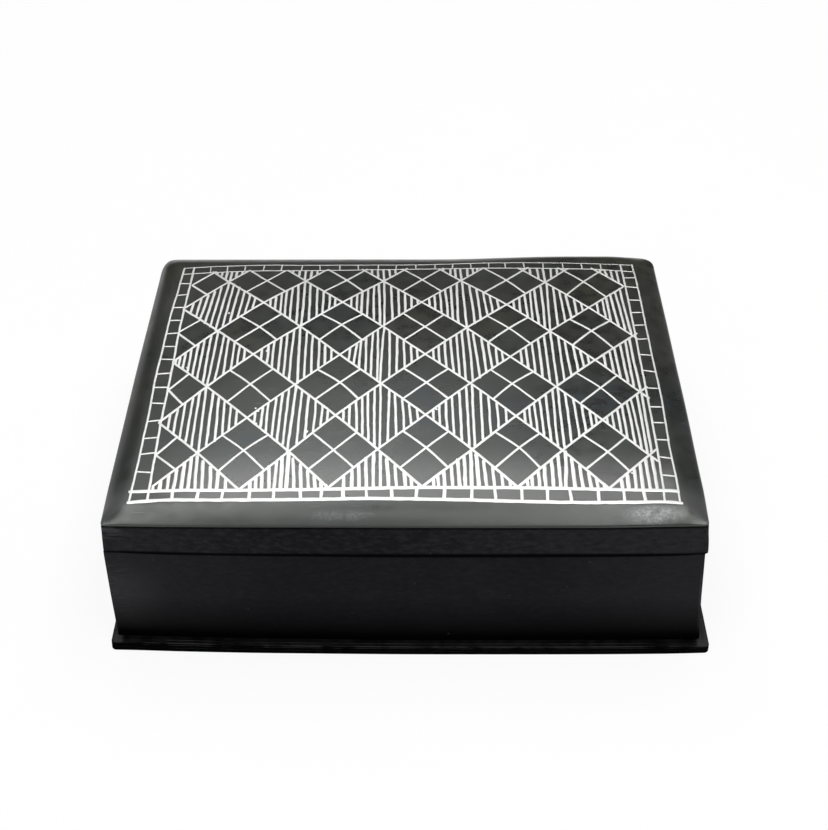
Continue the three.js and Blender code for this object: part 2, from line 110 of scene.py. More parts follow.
# How far the front stands forward and the seam dips, in millimetres: rows by height, columns by place

ALONG = (-0.078, -0.060, -0.040, 0.0, 0.050, 0.070, 0.078)
FRONT_STANDS = {
    0.00000: (-0.60, 0.05, 0.55, 1.02, 1.03, 0.82, 0.50),
    BASE_TOP: (-1.22, -0.75, -0.07, 0.46, 0.46, 0.36, 0.25),
    HINGE_Z: (-0.30, 0.10, 0.30, 0.50, 0.45, 0.20, -0.10),
    LID_EDGE: (-1.05, -0.75, -0.60, -0.45, -0.36, -0.90, -1.00),
}
SEAM_DIPS = (0.10, 0.75, 1.00, 1.30, 1.28, 0.98, 0.55)
SEAM_REACH = 0.006

# How far the left and right faces stand to the right, in millimetres, by height
SIDE_STANDS = {
    BASE_TOP: (1.55, 1.40),
    0.01700: (0.95, 0.85),
    RIM_Z: (0.40, 0.70),
    LID_BOTTOM: (0.52, 0.70),
    LID_EDGE: (0.20, 0.85),
}
BASE_STANDS = (1.55, 2.25)


def between(places, values, place):
    """The value at a place among rising places, on a smooth line through the given values."""
    place = min(max(place, places[0]), places[-1])
    i = max(k for k in range(len(places) - 1) if places[k] <= place)
    t = (place - places[i]) / (places[i + 1] - places[i])
    return spline(*(values[min(max(k, 0), len(values) - 1)] for k in (i - 1, i, i + 1, i + 2)), t)


def by_height(rows, z, pick):
    heights = list(rows)
    z = min(max(z, heights[0]), heights[-1])
    i = max(k for k in range(len(heights) - 1) if heights[k] <= z)
    share = (z - heights[i]) / (heights[i + 1] - heights[i])
    return pick(rows[heights[i]]) * (1 - share) + pick(rows[heights[i + 1]]) * share


def corner_radius(x, y, z):
    """The lid's corners are crisp at the seam and rounder towards the top."""
    top = PLATE_CORNERS[1 if x > 0 else -1, 1 if y > 0 else -1]
    return BAND_CORNER + (top - BAND_CORNER) * smooth(CORNER_FROM, CORNER_TO, z)


def round_corner(x, y, z):
    """Draws the square corners of the lid in to round ones; x is taken from the lid's middle."""
    radius = corner_radius(x, y, z)
    over_x = abs(x) - (LID_HALF_X - radius)
    over_y = abs(y) - (LID_HALF_Y - radius)
    if over_x <= 0 or over_y <= 0:
        return x, y
    u, v = over_x / radius, over_y / radius
    new_x = LID_HALF_X - radius + radius * u * math.sqrt(1 - min(1, v * v) / 2)
    new_y = LID_HALF_Y - radius + radius * v * math.sqrt(1 - min(1, u * u) / 2)
    return math.copysign(new_x, x), math.copysign(new_y, y)


def outer_share(distance):
    """0 at the inner face of a wall, 1 at its outer face."""
    return min(1.0, max(0.0, distance / UNEVEN_DEPTH))


def forward(x, y, z):
    """How far a point of the front stands forward."""
    return outer_share(-y - INNER_Y) * MM * by_height(FRONT_STANDS, z, lambda row: between(ALONG, row, x))


def hand_made(point):
    """Cast and filed by hand: the front swells and its left end stands back, and the sides lean unevenly."""
    x, y, z = point
    dip = between(ALONG, SEAM_DIPS, x) * MM * max(0.0, 1 - abs(z - HINGE_Z) / SEAM_REACH)
    side = 0 if x < 0 else 1
    right = by_height(SIDE_STANDS, z, lambda row: row[side]) * MM
    if z > HINGE_Z:
        top = smooth(LID_BOTTOM, LID_EDGE, z)
        right += top * (0.00055 * smooth(0.0, 0.055, y), 0.00025 * smooth(-0.045, -0.010, y))[side]
        right += top * (0.00017, -0.00050)[side] * smooth(-0.045, -0.063, y)
    sway = 0.00010 * wave(x, y, z, 0.03, 5.3) * smooth(0.05, 0.02, y)
    return Vector((
        x + right * outer_share(abs(x) - INNER_X) + 0.00008 * wave(x, y, z, 0.028, 9.9),
        y - forward(x, y, z) + sway,
        z - dip * outer_share(-y - INNER_Y),
    ))


def base_made(point):
    """The base plate lies a little to the right under the walls."""
    x, y, z = point
    sway = 0.00008 * wave(x, y, z, 0.03, 4.1)
    right = (BASE_STANDS[0] + (BASE_STANDS[1] - BASE_STANDS[0]) * smooth(-0.07, 0.07, x)) * MM
    return Vector((x + right, y - forward(x, y, z) + sway, z))


# Mesh helpers

def ridden(obj, body, node_name):
    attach(obj, body)
    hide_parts(node_name)
    return obj


def new_object(name, bm, material):
    mesh = bpy.data.meshes.new(name)
    bm.to_mesh(mesh)
    bm.free()
    mesh.materials.append(material)
    obj = bpy.data.objects.new(name, mesh)
    bpy.context.scene.collection.objects.link(obj)
    return obj


def shade(obj, angle=40):
    """Smooth shading with the sharp turns kept."""
    obj.data.polygons.foreach_set("use_smooth", [True] * len(obj.data.polygons))
    obj.data.set_sharp_from_angle(angle=math.radians(angle))
    return obj


def closed_object(name, bm, material, angle=40):
    bmesh.ops.recalc_face_normals(bm, faces=bm.faces)
    return shade(new_object(name, bm, material), angle)


def soften(obj, width, segments, method, angle=30):
    bevel = obj.modifiers.new("soft edges", "BEVEL")
    bevel.width = width
    bevel.segments = segments
    bevel.limit_method = method
    bevel.angle_limit = math.radians(angle)
    return obj


def bridge(bm, low, high):
    """Faces between two closed rings of equally many points."""
    for i in range(len(low)):
        j = (i + 1) % len(low)
        bm.faces.new([low[i], low[j], high[j], high[i]])


def carpet(bm, rows):
    """Faces over rows of points; returns the points round its edge."""
    for low, high in zip(rows, rows[1:]):
        for i in range(len(low) - 1):
            bm.faces.new([low[i], low[i + 1], high[i + 1], high[i]])
    return rows[0] + [row[-1] for row in rows[1:]] + rows[-1][-2::-1] + [row[0] for row in rows[-2:0:-1]]


def stations(count, *near):
    """Places from 0 to 1: count even steps, with more of them near both ends."""
    inner = [i / count for i in range(count + 1) if near[-1] < i / count < 1 - near[-1]]
    return [0.0, *near, *inner, *(1 - place for place in reversed(near)), 1.0]


def slab(name, place, across, weight, material, width):
    """A closed block on three lists of places, put in space by place(u, v, w); weight(edge middle) sets how
    soft each sharp edge is, up to width."""
    bm = bmesh.new()
    points = {}

    def vert(*steps):
        if steps not in points:
            points[steps] = bm.verts.new(hand_made(place(*(across[a][i] for a, i in enumerate(steps)))))
        return points[steps]

    counts = [len(places) - 1 for places in across]
    for a, b, fixed in ((0, 1, 2), (0, 2, 1), (1, 2, 0)):
        for i in range(counts[a]):
            for j in range(counts[b]):
                for end in (0, counts[fixed]):
                    corners = []
                    for di, dj in ((0, 0), (1, 0), (1, 1), (0, 1)):
                        steps = [end, end, end]
                        steps[a], steps[b] = i + di, j + dj
                        corners.append(vert(*steps))
                    bm.faces.new(corners)
    bmesh.ops.recalc_face_normals(bm, faces=bm.faces)
    layer = bm.edges.layers.float.new("bevel_weight_edge")
    for edge in bm.edges:
        if edge.calc_face_angle(0) > math.radians(30):
            edge[layer] = weight((edge.verts[0].co + edge.verts[1].co) / 2)
    return soften(shade(new_object(name, bm, material)), width, 3, "WEIGHT")


def ring_points(half_x, half_y, radius, z, steps, sides):
    """Points round a rounded rectangle, with sides points along each straight stretch."""
    points = []
    corners = [(1, 1), (-1, 1), (-1, -1), (1, -1)]

    def on_arc(corner, turn):
        angle = turn * math.pi / 2
        x = corner[0] * (half_x - radius) + radius * math.cos(angle)
        return Vector((x, corner[1] * (half_y - radius) + radius * math.sin(angle), z))

    for index, corner in enumerate(corners):
        points += [on_arc(corner, index + i / steps) for i in range(steps + 1)]
        start, target = points[-1], on_arc(corners[(index + 1) % 4], index + 1)
        points += [start.lerp(target, i / sides) for i in range(1, sides)]
    return points


def stack(name, levels, steps, sides, material, warp):
    """A closed body through rounded rectangles, from the bottom up."""
    bm = bmesh.new()
    rings = []
    for z, half_x, half_y, radius in levels:
        rings.append([bm.verts.new(warp(p)) for p in ring_points(half_x, half_y, radius, z, steps, sides)])
    for low, high in zip(rings, rings[1:]):
        bridge(bm, low, high)
    bm.faces.new(rings[0][::-1])
    bm.faces.new(rings[-1])
    return shade(new_object(name, bm, material))


def lathe(name, profile, segments, material, turn):
    """A turned body; profile is (radius, height) from end to end, and turn puts it in place."""
    bm = bmesh.new()
    rings = []
    for radius, height in profile:
        angles = [2 * math.pi * i / segments for i in range(segments if radius else 1)]
        places = [turn(radius * math.cos(a), radius * math.sin(a), height) for a in angles]
        rings.append([bm.verts.new(place) for place in places])
    for low, high in zip(rings, rings[1:]):
        for i in range(segments):
            j = (i + 1) % segments
            corners = [low[i % len(low)], low[j % len(low)], high[j % len(high)], high[i % len(high)]]
            bm.faces.new(list(dict.fromkeys(corners)))
    return closed_object(name, bm, material, 35)


# Shaders

class Graph:
    """Makes nodes in one tree; place is the coordinate that its textures and effects follow."""

    def __init__(self, tree, place):
        self.tree = tree
        self.place = place

    def fill(self, sockets, values):
        """Joins or sets each named socket."""
        for key, value in dict(values).items():
            if isinstance(value, bpy.types.NodeSocket):
                self.tree.links.new(value, sockets[key])
            else:
                sockets[key].default_value = value

    def node(self, kind, values=(), **settings):
        made = self.tree.nodes.new(kind)
        for key, value in settings.items():
            setattr(made, key, value)
        self.fill(made.inputs, values)
        return made

    def math(self, operation, *values):
        return self.node("ShaderNodeMath", enumerate(values), operation=operation).outputs[0]

    def times(self, first, *others):
        for other in others:
            first = self.math("MULTIPLY", first, other)
        return first

    def plus(self, first, second):
        return self.math("ADD", first, second)

    def minus(self, first, second):
        return self.math("SUBTRACT", first, second)

    def scaled(self, value, factor, offset):
        """value times factor, plus offset."""
        return self.math("MULTIPLY_ADD", value, factor, offset)

    def larger(self, first, second):
        return self.math("MAXIMUM", first, second)

    def smaller(self, first, second):
        return self.math("MINIMUM", first, second)

    def distance(self, first, second):
        return self.math("ABSOLUTE", self.minus(first, second))

    def ramp(self, value, low, high):
        """0 at low, 1 at high, smooth between."""
        values = {"Value": value, "From Min": low, "From Max": high}
        return self.node("ShaderNodeMapRange", values, interpolation_type="SMOOTHSTEP").outputs["Result"]

    def noise(self, scale, detail=3.0, rough=0.55, place=None):
        values = {"Vector": place or self.place, "Scale": scale, "Detail": detail, "Roughness": rough}
        return self.node("ShaderNodeTexNoise", values).outputs["Fac"]

    def stretched(self, scale, turn=(0, 0, 0), place=None):
        values = {"Vector": place or self.place, "Scale": scale, "Rotation": turn}
        return self.node("ShaderNodeMapping", values).outputs["Vector"]

    def vector(self, operation, *values):
        return self.node("ShaderNodeVectorMath", enumerate(values), operation=operation).outputs

    def axis(self, letter):
        return self.node("ShaderNodeSeparateXYZ", {0: self.place}).outputs[letter]

    def blend(self, share, first, second):
        """Colour first where share is 0, second where it is 1; a single number is a grey."""
        made = self.node("ShaderNodeMix", {0: share}, data_type="RGBA")
        slots = [index for index, slot in enumerate(made.inputs) if slot.type == "RGBA"]
        for slot, value in zip(slots, (first, second)):
            if isinstance(value, float):
                value = (value, value, value)
            self.fill(made.inputs, {slot: (*value, 1) if isinstance(value, tuple) else value})
        return next(slot for slot in made.outputs if slot.type == "RGBA")

    def use(self, name, result=None, **values):
        """One result of an effect group that is given these values."""
        named = {key.replace("_", " "): value for key, value in values.items()}
        made = self.node("ShaderNodeGroup", node_tree=EFFECTS[name])
        self.fill(made.inputs, {"Vector": self.place} | named)
        return made.outputs[result] if result else made.outputs


# Effects, each a node group that gives masks, tones or heights

EFFECTS = {}


def effect(*results, **given):
    """Makes a node group with these named outputs and inputs of a function that joins its nodes."""
    def keep(join):
        tree = bpy.data.node_groups.new(join.__name__, "ShaderNodeTree")
        inputs = {"Vector": (0, 0, 0)} | {key.replace("_", " "): value for key, value in given.items()}
        for key, value in inputs.items():
            kind = "NodeSocketVector" if isinstance(value, tuple) else "NodeSocketFloat"
            tree.interface.new_socket(name=key, in_out="INPUT", socket_type=kind).default_value = value
        for key in results:
            tree.interface.new_socket(name=key, in_out="OUTPUT", socket_type="NodeSocketFloat")
        sockets = tree.nodes.new("NodeGroupInput").outputs
        sink = tree.nodes.new("NodeGroupOutput").inputs
        graph = Graph(tree, sockets["Vector"])
        graph.fill(sink, zip(results, join(graph, *(sockets[key] for key in inputs if key != "Vector"))))
        EFFECTS[join.__name__] = tree
        return join
    return keep


@effect("Cloud", "Mottle", "Tint", Cloud_Scale=30.0, Mottle_Scale=220.0)
def cloudy_tone(graph, cloud_scale, mottle_scale):
    """Uneven blackening: large clouds, smaller mottling and a slow change of tint."""
    elsewhere = graph.vector("ADD", graph.place, (0.31, 0.17, 0.05))[0]
    return (
        graph.ramp(graph.noise(cloud_scale, 2.0, 0.5), 0.3, 0.7),
        graph.ramp(graph.noise(mottle_scale, 4.0, 0.6), 0.3, 0.7),
        graph.ramp(graph.noise(22.0, 1.5, 0.5, elsewhere), 0.38, 0.62),
    )


@effect("Mask", Amount=0.5)
def hairline_scratches(graph, amount):
    """Fine handling scratches in a few directions, only here and there."""
    total = 0.0
    for turn, seed in ((0.35, 0.0), (1.2, 0.4), (-0.6, 0.9)):
        moved = graph.vector("ADD", graph.place, (seed, seed, 0))[0]
        lines = graph.noise(1.0, 1.0, place=graph.stretched((90, 2600, 90), (0, 0, turn), moved))
        patch = graph.noise(55.0, 2.0, place=moved)
        line = graph.times(graph.ramp(lines, 0.70, 0.76), graph.ramp(patch, 0.52, 0.66))
        total = graph.larger(total, line)
    return (graph.times(total, amount),)


@effect("Mask", Centre_X=0.0, Half_X=0.076, Half_Y=0.0605, Edge_Height=LID_EDGE, Other_Height=LID_BOTTOM,
        Width=0.0006)
def worn_edges(graph, centre_x, half_x, half_y, edge_height, other_height, width):
    """1 along the upright corners and along the edges at two heights, broken up unevenly; it marks worn edges, and
    on the walls' leaning corners also a painted highlight.
    """
    in_x = graph.minus(half_x, graph.distance(graph.axis("X"), centre_x))
    in_y = graph.minus(half_y, graph.math("ABSOLUTE", graph.axis("Y")))
    near = graph.larger(graph.math("ABSOLUTE", in_x), in_y)
    for height in (edge_height, other_height):
        away = graph.distance(graph.axis("Z"), height)
        near = graph.smaller(near, graph.larger(away, graph.smaller(in_x, in_y)))
    reach = graph.times(width, graph.times(graph.noise(260.0), 2.0))
    return (graph.ramp(graph.minus(1.0, graph.math("DIVIDE", near, reach)), 0.0, 0.8),)


@effect("Mask", First=0.0, Second=0.0, Width=0.0002)
def height_lines(graph, first, second, width):
    """Thin pale lines that keep to two heights, broken here and there: painted highlights along edges."""
    z = graph.axis("Z")
    near = graph.smaller(graph.distance(z, first), graph.distance(z, second))
    line = graph.ramp(graph.minus(1.0, graph.math("DIVIDE", near, width)), 0.0, 0.6)
    return (graph.times(line, graph.ramp(graph.noise(170.0), 0.34, 0.58)),)


@effect("Height", "Pit Mask", Lines=0.4, Pits=0.3)
def filed_surface(graph, lines, pits):
    """Heights of fine file marks along X, shallow hand-filed swells and casting pits."""
    marks = graph.noise(1.0, 3.0, 0.6, graph.stretched((60, 900, 1500)))
    cells = graph.node("ShaderNodeTexVoronoi", {"Vector": graph.place, "Scale": 420.0}).outputs["Distance"]
    some = graph.ramp(graph.noise(300.0, 1.0), 0.62, 0.68)
    pit = graph.times(graph.minus(1.0, graph.ramp(cells, 0.0, 0.22)), some)
    height = graph.scaled(marks, lines, graph.times(graph.noise(130.0, 2.0), 0.5))
    return graph.minus(height, graph.times(pit, pits)), pit


@effect("Mask", Centre=(0, 0, 0), Stretch=(1, 1, 1))
def rubbed_patch(graph, centre, stretch):
    """A pale speckled place where the black has been rubbed."""
    away = graph.vector("MULTIPLY", graph.vector("SUBTRACT", graph.place, centre)[0], stretch)[0]
    near = graph.minus(1.0, graph.ramp(graph.vector("LENGTH", away)["Value"], 0.25, 1.05))
    specks = graph.scaled(graph.ramp(graph.noise(1400.0, 3.0, 0.7), 0.40, 0.66), 0.62, 0.38)
    return (graph.times(near, graph.times(specks, graph.ramp(graph.noise(330.0, 2.0), 0.26, 0.56))),)


@effect("Share", Low=0.002, High=0.008, Uneven=0.003)
def height_shade(graph, low, high, uneven):
    """0 at the low height and beyond it, 1 from the high one on, with an uneven edge."""
    swing = graph.times(graph.minus(graph.noise(90.0), 0.5), uneven)
    values = {"Value": graph.plus(graph.axis("Z"), swing), "From Min": low, "From Max": high}
    return (graph.node("ShaderNodeMapRange", values).outputs["Result"],)


@effect("Lean", "Tufts", "Height", Tuft_Scale=2600.0)
def velvet_pile(graph, tuft_scale):
    """Short pile: leaning patches, tufts and their heights."""
    lean = graph.ramp(graph.noise(70.0, 3.0, 0.6), 0.35, 0.65)
    tufts = graph.noise(tuft_scale, 2.0, 0.7)
    return lean, tufts, graph.scaled(tufts, 0.7, graph.times(lean, 0.3))


@effect("Tone", "Height", Facet_Scale=900.0)
def hammered_wire(graph, facet_scale):
    """Wire beaten into its groove: flattened facets and small tool marks."""
    values = {"Vector": graph.place, "Scale": facet_scale}
    facets = graph.node("ShaderNodeTexVoronoi", values, feature="SMOOTH_F1").outputs["Distance"]
    tone = graph.ramp(graph.noise(400.0, 3.0, 0.6), 0.25, 0.6)
    return tone, graph.scaled(facets, 0.6, graph.times(graph.noise(3000.0, 2.0), 0.4))


# Materials

class Finish(Graph):
    """A material with its shader's own settings, in the object's coordinates."""

    def __init__(self, name, **settings):
        self.material = bpy.data.materials.new(name)
        self.material.use_nodes = True
        tree = self.material.node_tree
        super().__init__(tree, tree.nodes.new("ShaderNodeTexCoord").outputs["Object"])
        self.principled = tree.nodes["Principled BSDF"]
        named = {key.replace("_", " "): value for key, value in settings.items()}
        self.fill(self.principled.inputs, named)

    def done(self, color, roughness, height, depth):
        bump = self.node("ShaderNodeBump", {"Height": height, "Distance": depth, "Strength": 1.0})
        self.fill(self.principled.inputs, {
            "Base Color": color, "Roughness": roughness, "Normal": bump.outputs["Normal"],
        })
        return self.material


# A height far below everything, for an edge that gets no pale line, worn or painted highlight
NOWHERE = -1.0

# Depths of the fine reliefs, in metres
FILE_DEPTH, BRASS_FILE_DEPTH, PILE_DEPTH, WIRE_DEPTH = 0.00008, 0.00002, 0.00025, 0.00001

# Colours of the lid's plate
BROWN_BLACK, BLUE_BLACK = (0.0166, 0.0149, 0.0040), (0.0016, 0.0104, 0.0200)
LID_MOTTLE, LID_CLOUD = (0.0047, 0.0051, 0.0043), (0.0153, 0.0166, 0.0141)
# The first two are painted light: a sheen over the front of the field and light on the front corners of the side
# margins; the rubbed metal is worn.
FRONT_PAINTED_SHEEN, CORNER_PAINTED_LIGHT, RUBBED_METAL = (0.106, 0.107, 0.106), (0.100, 0.101, 0.100), (0.33, 0.335, 0.345)
# The side black is painted shade on the plate's side, under its lip.
LID_SCRATCH, LID_WORN_EDGE, LID_SIDE_PAINTED_SHADE = 0.20, 0.08, 0.0006

# Colours of the walls and the band
WALL_MOTTLE, WALL_DARK, WALL_CLOUD = (0.0096, 0.0096, 0.0112), (0.0104, 0.0104, 0.0121), (0.0141, 0.0141, 0.0163)
BOTH_ENDS_GREY, LEFT_END_GREY, RIGHT_GREY = (0.0243, 0.0243, 0.0263), (0.050, 0.050, 0.053), (0.030, 0.030, 0.031)
# The deep black is painted shade at the walls' foot, beside the seam and under the lid's plate.
GRAIN_PALE, GRAIN_DARK, PIT_GREY, PAINTED_SHADE_BLACK = 0.034, 0.002, 0.066, 0.0003
# The worn corner colour is the pale of the leaning corners, partly worn and partly a painted highlight of their
# rounded edge.
STROKE_GREY, CORNER_WEAR_AND_HIGHLIGHT = (0.062, 0.062, 0.065), (0.060, 0.060, 0.064)

# Colours of the base plate; the outer grey is painted light on the ends of its top, the side black painted shade,
# and each pale line, a painted highlight, has two heights, a width and how pale it is
BASE_DARK, BASE_PALE, BASE_ENDS_PAINTED_LIGHT = (0.0017, 0.0017, 0.0018), (0.0082, 0.0082, 0.0089), (0.036, 0.036, 0.037)
BASE_SIDE_PAINTED_SHADE = 0.0004
BASE_HIGHLIGHT_LINES = (
    (0.00238, 0.00238, 0.00011, 0.034), (BEAD_TOP, BEAD_TOP, 0.00004, 0.037), (0.00184, 0.00106, 0.00015, 0.13),
)

# Colours of the wire, the hinges and the linings
SILVER_DARK, SILVER_BRIGHT, SILVER_TARNISH = (0.90, 0.90, 0.885), (0.965, 0.965, 0.955), (0.69, 0.69, 0.67)
BRASS_MOTTLE, BRASS_DARK, BRASS_CLOUD, BRASS_SCRATCH = (
    (0.30, 0.20, 0.08), (0.44, 0.30, 0.11), (0.60, 0.44, 0.19), (0.72, 0.58, 0.30),
)
PILE_DEEP, PILE_DARK, PILE_PALE = (0.030, 0.003, 0.006), (0.060, 0.006, 0.012), (0.115, 0.014, 0.026)


def lid_alloy():
    """The domed plate: satin black, clouded, browner to the rear and bluer to the front, the bluer front partly a
    painted tint of the sheen there;
    the front of the field has a painted sheen, the front corners of the side margins painted light, patches between
    the front wires are rubbed greyer, and its side under the lip is painted black as shade."""
    lid = Finish("blackened_alloy_lid", Specular_IOR_Level=0.92, Specular_Tint=(0.97, 1.0, 0.97, 1))
    tone = lid.use("cloudy_tone", Cloud_Scale=26.0, Mottle_Scale=240.0)
    x, y = lid.axis("X"), lid.axis("Y")
    # Bluer to the front is partly a painted tint of the front sheen; the rest is a random patina tint.
    sheen_and_patina_tint = lid.scaled(lid.ramp(y, 0.015, -0.040), 0.45, lid.times(tone["Tint"], 0.55))
    tinted = lid.blend(sheen_and_patina_tint, BROWN_BLACK, BLUE_BLACK)
    mottled = lid.blend(tone["Mottle"], LID_MOTTLE, tinted)
    clouded = lid.blend(tone["Cloud"], mottled, LID_CLOUD)
    # Painted sheen: the front of the field between the wires is lighter, where the lamps' highlight falls.
    front_sheen_share = lid.times(
        lid.math("POWER", lid.ramp(y, -0.026, -0.049), 2.0), lid.ramp(y, -0.0536, -0.0530),
        lid.ramp(x, -0.066, -0.046), lid.ramp(x, 0.0712, 0.0690), lid.scaled(tone["Mottle"], 0.3, 0.85),
    )
    sheened = lid.blend(front_sheen_share, clouded, FRONT_PAINTED_SHEEN)
    scratched = lid.blend(lid.use("hairline_scratches", "Mask", Amount=0.35), sheened, LID_SCRATCH)
    strong, faint = (
        lid.use("rubbed_patch", "Mask", Centre=centre, Stretch=stretch) for centre, stretch in (
            ((0.0632, -0.0572, 0.0452), (115.0, 330.0, 120.0)),
            ((-0.0155, -0.0578, 0.0450), (100.0, 600.0, 120.0)),
        )
    )
    patch = lid.scaled(faint, 0.22, strong)
    rubbed = lid.blend(patch, scratched, RUBBED_METAL)
    across = lid.distance(x, LID_X)
    past_mitre = lid.minus(lid.plus(y, across), LID_HALF_X - LID_HALF_Y)
    # Painted light: the side margins near the front corners are lightened where they would shade dark.
    corner = lid.times(
        lid.ramp(across, 0.0685, 0.0712), lid.ramp(y, -0.043, -0.0545),
        lid.ramp(past_mitre, -0.0011, 0.0010), 0.55,
    )
    corners_lit = lid.blend(corner, rubbed, CORNER_PAINTED_LIGHT)
    worn = lid.use("worn_edges", "Mask", Centre_X=LID_X, Half_X=LID_HALF_X, Half_Y=LID_HALF_Y, Width=0.0004)
    edged = lid.blend(lid.times(worn, 0.04), corners_lit, LID_WORN_EDGE)
    # Painted shade: the plate's side under its lip is black.
    top = lid.use("height_shade", "Share", Low=0.0426, High=0.0428, Uneven=0.0)
    rolled = lid.times(
        lid.ramp(y, -0.0556, -0.0597), lid.ramp(x, 0.050, -0.010), lid.ramp(x, -0.072, -0.038),
    )
    rough = lid.scaled(tone["Mottle"], 0.10, 0.245)
    for mask, more in ((tone["Cloud"], 0.05), (patch, 0.2), (rolled, 0.28)):
        rough = lid.scaled(mask, more, rough)
    height = lid.use("filed_surface", "Height", Lines=0.1, Pits=0.04)
    return lid.done(lid.blend(top, LID_SIDE_PAINTED_SHADE, edged), rough, height, FILE_DEPTH)


def wall_alloy(name, foot, seam, strokes, corner_wear_and_highlight, coarse, right):
    """Walls and band: deep matt black, filed along their length, a little greyer towards the ends, with painted
    shade
    at the foot and beside the seam, and on the band under the plate's lip. The arguments after the name give in
    turn:
    the heights where the first painted shade (at the foot, on the band under the lip) and the second (beside the
    seam) are full and where each ends, and how uneven that is; the closeness, slant and strength of the file marks
    at the left end; how pale the leaning corners are, partly worn and partly a painted highlight; how strong the
    cross-filed grain is;
    and how grey the right half is."""
    wall = Finish(name, Specular_IOR_Level=0.024, Specular_Tint=(0.90, 0.90, 1.0, 1))
    tone = wall.use("cloudy_tone", Cloud_Scale=35.0, Mottle_Scale=180.0)
    x, z = wall.axis("X"), wall.axis("Z")
    clouded = wall.blend(tone["Cloud"], WALL_DARK, WALL_CLOUD)
    color = wall.blend(tone["Mottle"], WALL_MOTTLE, clouded)
    close, slant, strength = strokes
    grain = wall.noise(1.0, 4.0, 0.65, wall.stretched((420, 200, 900), (0, 0.3, 0)))
    marks = wall.noise(1.0, 3.0, 0.6, wall.stretched((0.1 * close, 200, close), (0, slant, 0)))
    worn = wall.use(
        "worn_edges", "Mask",
        Centre_X=wall.scaled(z, -0.0291, 0.00155), Half_X=wall.scaled(z, -0.0387, 0.07678), Half_Y=0.0609,
        Edge_Height=NOWHERE, Other_Height=NOWHERE, Width=0.0003,
    )
    for share, grey in (
        (wall.times(wall.ramp(wall.math("ABSOLUTE", x), 0.030, 0.080), 0.6), BOTH_ENDS_GREY),
        (wall.times(wall.ramp(x, -0.058, -0.074), 0.4, wall.ramp(z, 0.032, 0.022)), LEFT_END_GREY),
        (wall.times(wall.ramp(x, 0.0, 0.030), right), RIGHT_GREY),
        (wall.times(wall.ramp(grain, 0.46, 0.66), coarse), GRAIN_PALE),
        (wall.times(wall.ramp(grain, 0.48, 0.30), coarse), GRAIN_DARK),
        (wall.times(wall.ramp(marks, 0.50, 0.66), wall.ramp(x, -0.066, -0.075), strength), STROKE_GREY),
        # Pale leaning corners: partly worn, partly a painted highlight of the rounded edge.
        (wall.times(worn, corner_wear_and_highlight), CORNER_WEAR_AND_HIGHLIGHT),
    ):
        color = wall.blend(share, color, grey)
    # Painted shade beside the seam, reaching higher at the left end, and at the foot; on the band the foot's shade
    # lies under the plate's lip.
    thicker = wall.times(wall.ramp(x, -0.042, -0.070), 0.0005)
    seam = (wall.plus(thicker, seam[0]), wall.plus(thicker, seam[1]), seam[2])
    for low, high, uneven in (foot, seam):
        clear = wall.use("height_shade", "Share", Low=low, High=high, Uneven=uneven)
        color = wall.blend(clear, PAINTED_SHADE_BLACK, color)
    filed = wall.use("filed_surface", Lines=0.5, Pits=0.5)
    color = wall.blend(wall.times(filed["Pit Mask"], 0.35), color, PIT_GREY)
    return wall.done(color, wall.scaled(tone["Mottle"], 0.12, 0.50), filed["Height"], FILE_DEPTH)


def base_alloy():
    """Base plate: a dull top with painted light at its ends, pale lines of painted highlight along its outer edge,
    bead and grooves, and a grooved side painted black as shade.
    """
    plate = Finish("blackened_alloy_base", Specular_IOR_Level=0.020)
    tone = plate.use("cloudy_tone", Cloud_Scale=60.0, Mottle_Scale=260.0)
    dull = plate.blend(tone["Mottle"], BASE_DARK, BASE_PALE)
    # Painted light: the plate's top at its ends, beyond the walls, is lightened.
    out = plate.ramp(plate.distance(plate.axis("X"), 0.0018), 0.0757, 0.0769)
    dull = plate.blend(plate.scaled(out, 0.6, plate.times(out, tone["Mottle"])), dull, BASE_ENDS_PAINTED_LIGHT)
    # Painted shade: the plate's side below its top is black.
    top = plate.use("height_shade", "Share", Low=0.00225, High=BASE_TOP, Uneven=0.0)
    color = plate.blend(top, BASE_SIDE_PAINTED_SHADE, dull)
    # Painted highlights: pale lines along the top edge, the bead and the grooves.
    for first, second, width, pale in BASE_HIGHLIGHT_LINES:
        line = plate.use("height_lines", "Mask", First=first, Second=second, Width=width)
        color = plate.blend(plate.times(line, 0.9), color, (pale, pale, 1.05 * pale))
    height = plate.use("filed_surface", "Height", Lines=0.8, Pits=0.3)
    return plate.done(color, plate.scaled(tone["Mottle"], 0.12, 0.55), height, FILE_DEPTH)


def silver():
    """Bright flattened wire, tarnished towards the rear and the right."""
    wire = Finish("silver_wire", Metallic=0.4)
    marks = wire.use("hammered_wire")
    bright = wire.blend(marks["Tone"], SILVER_DARK, SILVER_BRIGHT)
    right = wire.times(wire.ramp(wire.axis("X"), 0.050, 0.072), 0.5)
    dull = wire.larger(wire.ramp(wire.axis("Y"), 0.022, 0.056), right)
    color = wire.blend(dull, bright, SILVER_TARNISH)
    return wire.done(color, wire.scaled(marks["Tone"], -0.12, 0.50), marks["Height"], WIRE_DEPTH)


def brass():
    """Dull brass with brighter clouds and fine scratches."""
    metal = Finish("hinge_brass", Metallic=1.0)
    tone = metal.use("cloudy_tone", Cloud_Scale=160.0, Mottle_Scale=900.0)
    clear = metal.blend(tone["Cloud"], BRASS_DARK, BRASS_CLOUD)
    dull = metal.blend(tone["Mottle"], BRASS_MOTTLE, clear)
    color = metal.blend(metal.use("hairline_scratches", "Mask", Amount=0.5), dull, BRASS_SCRATCH)
    height = metal.use("filed_surface", "Height", Lines=0.5, Pits=0.3)
    return metal.done(color, metal.scaled(tone["Mottle"], -0.15, 0.45), height, BRASS_FILE_DEPTH)


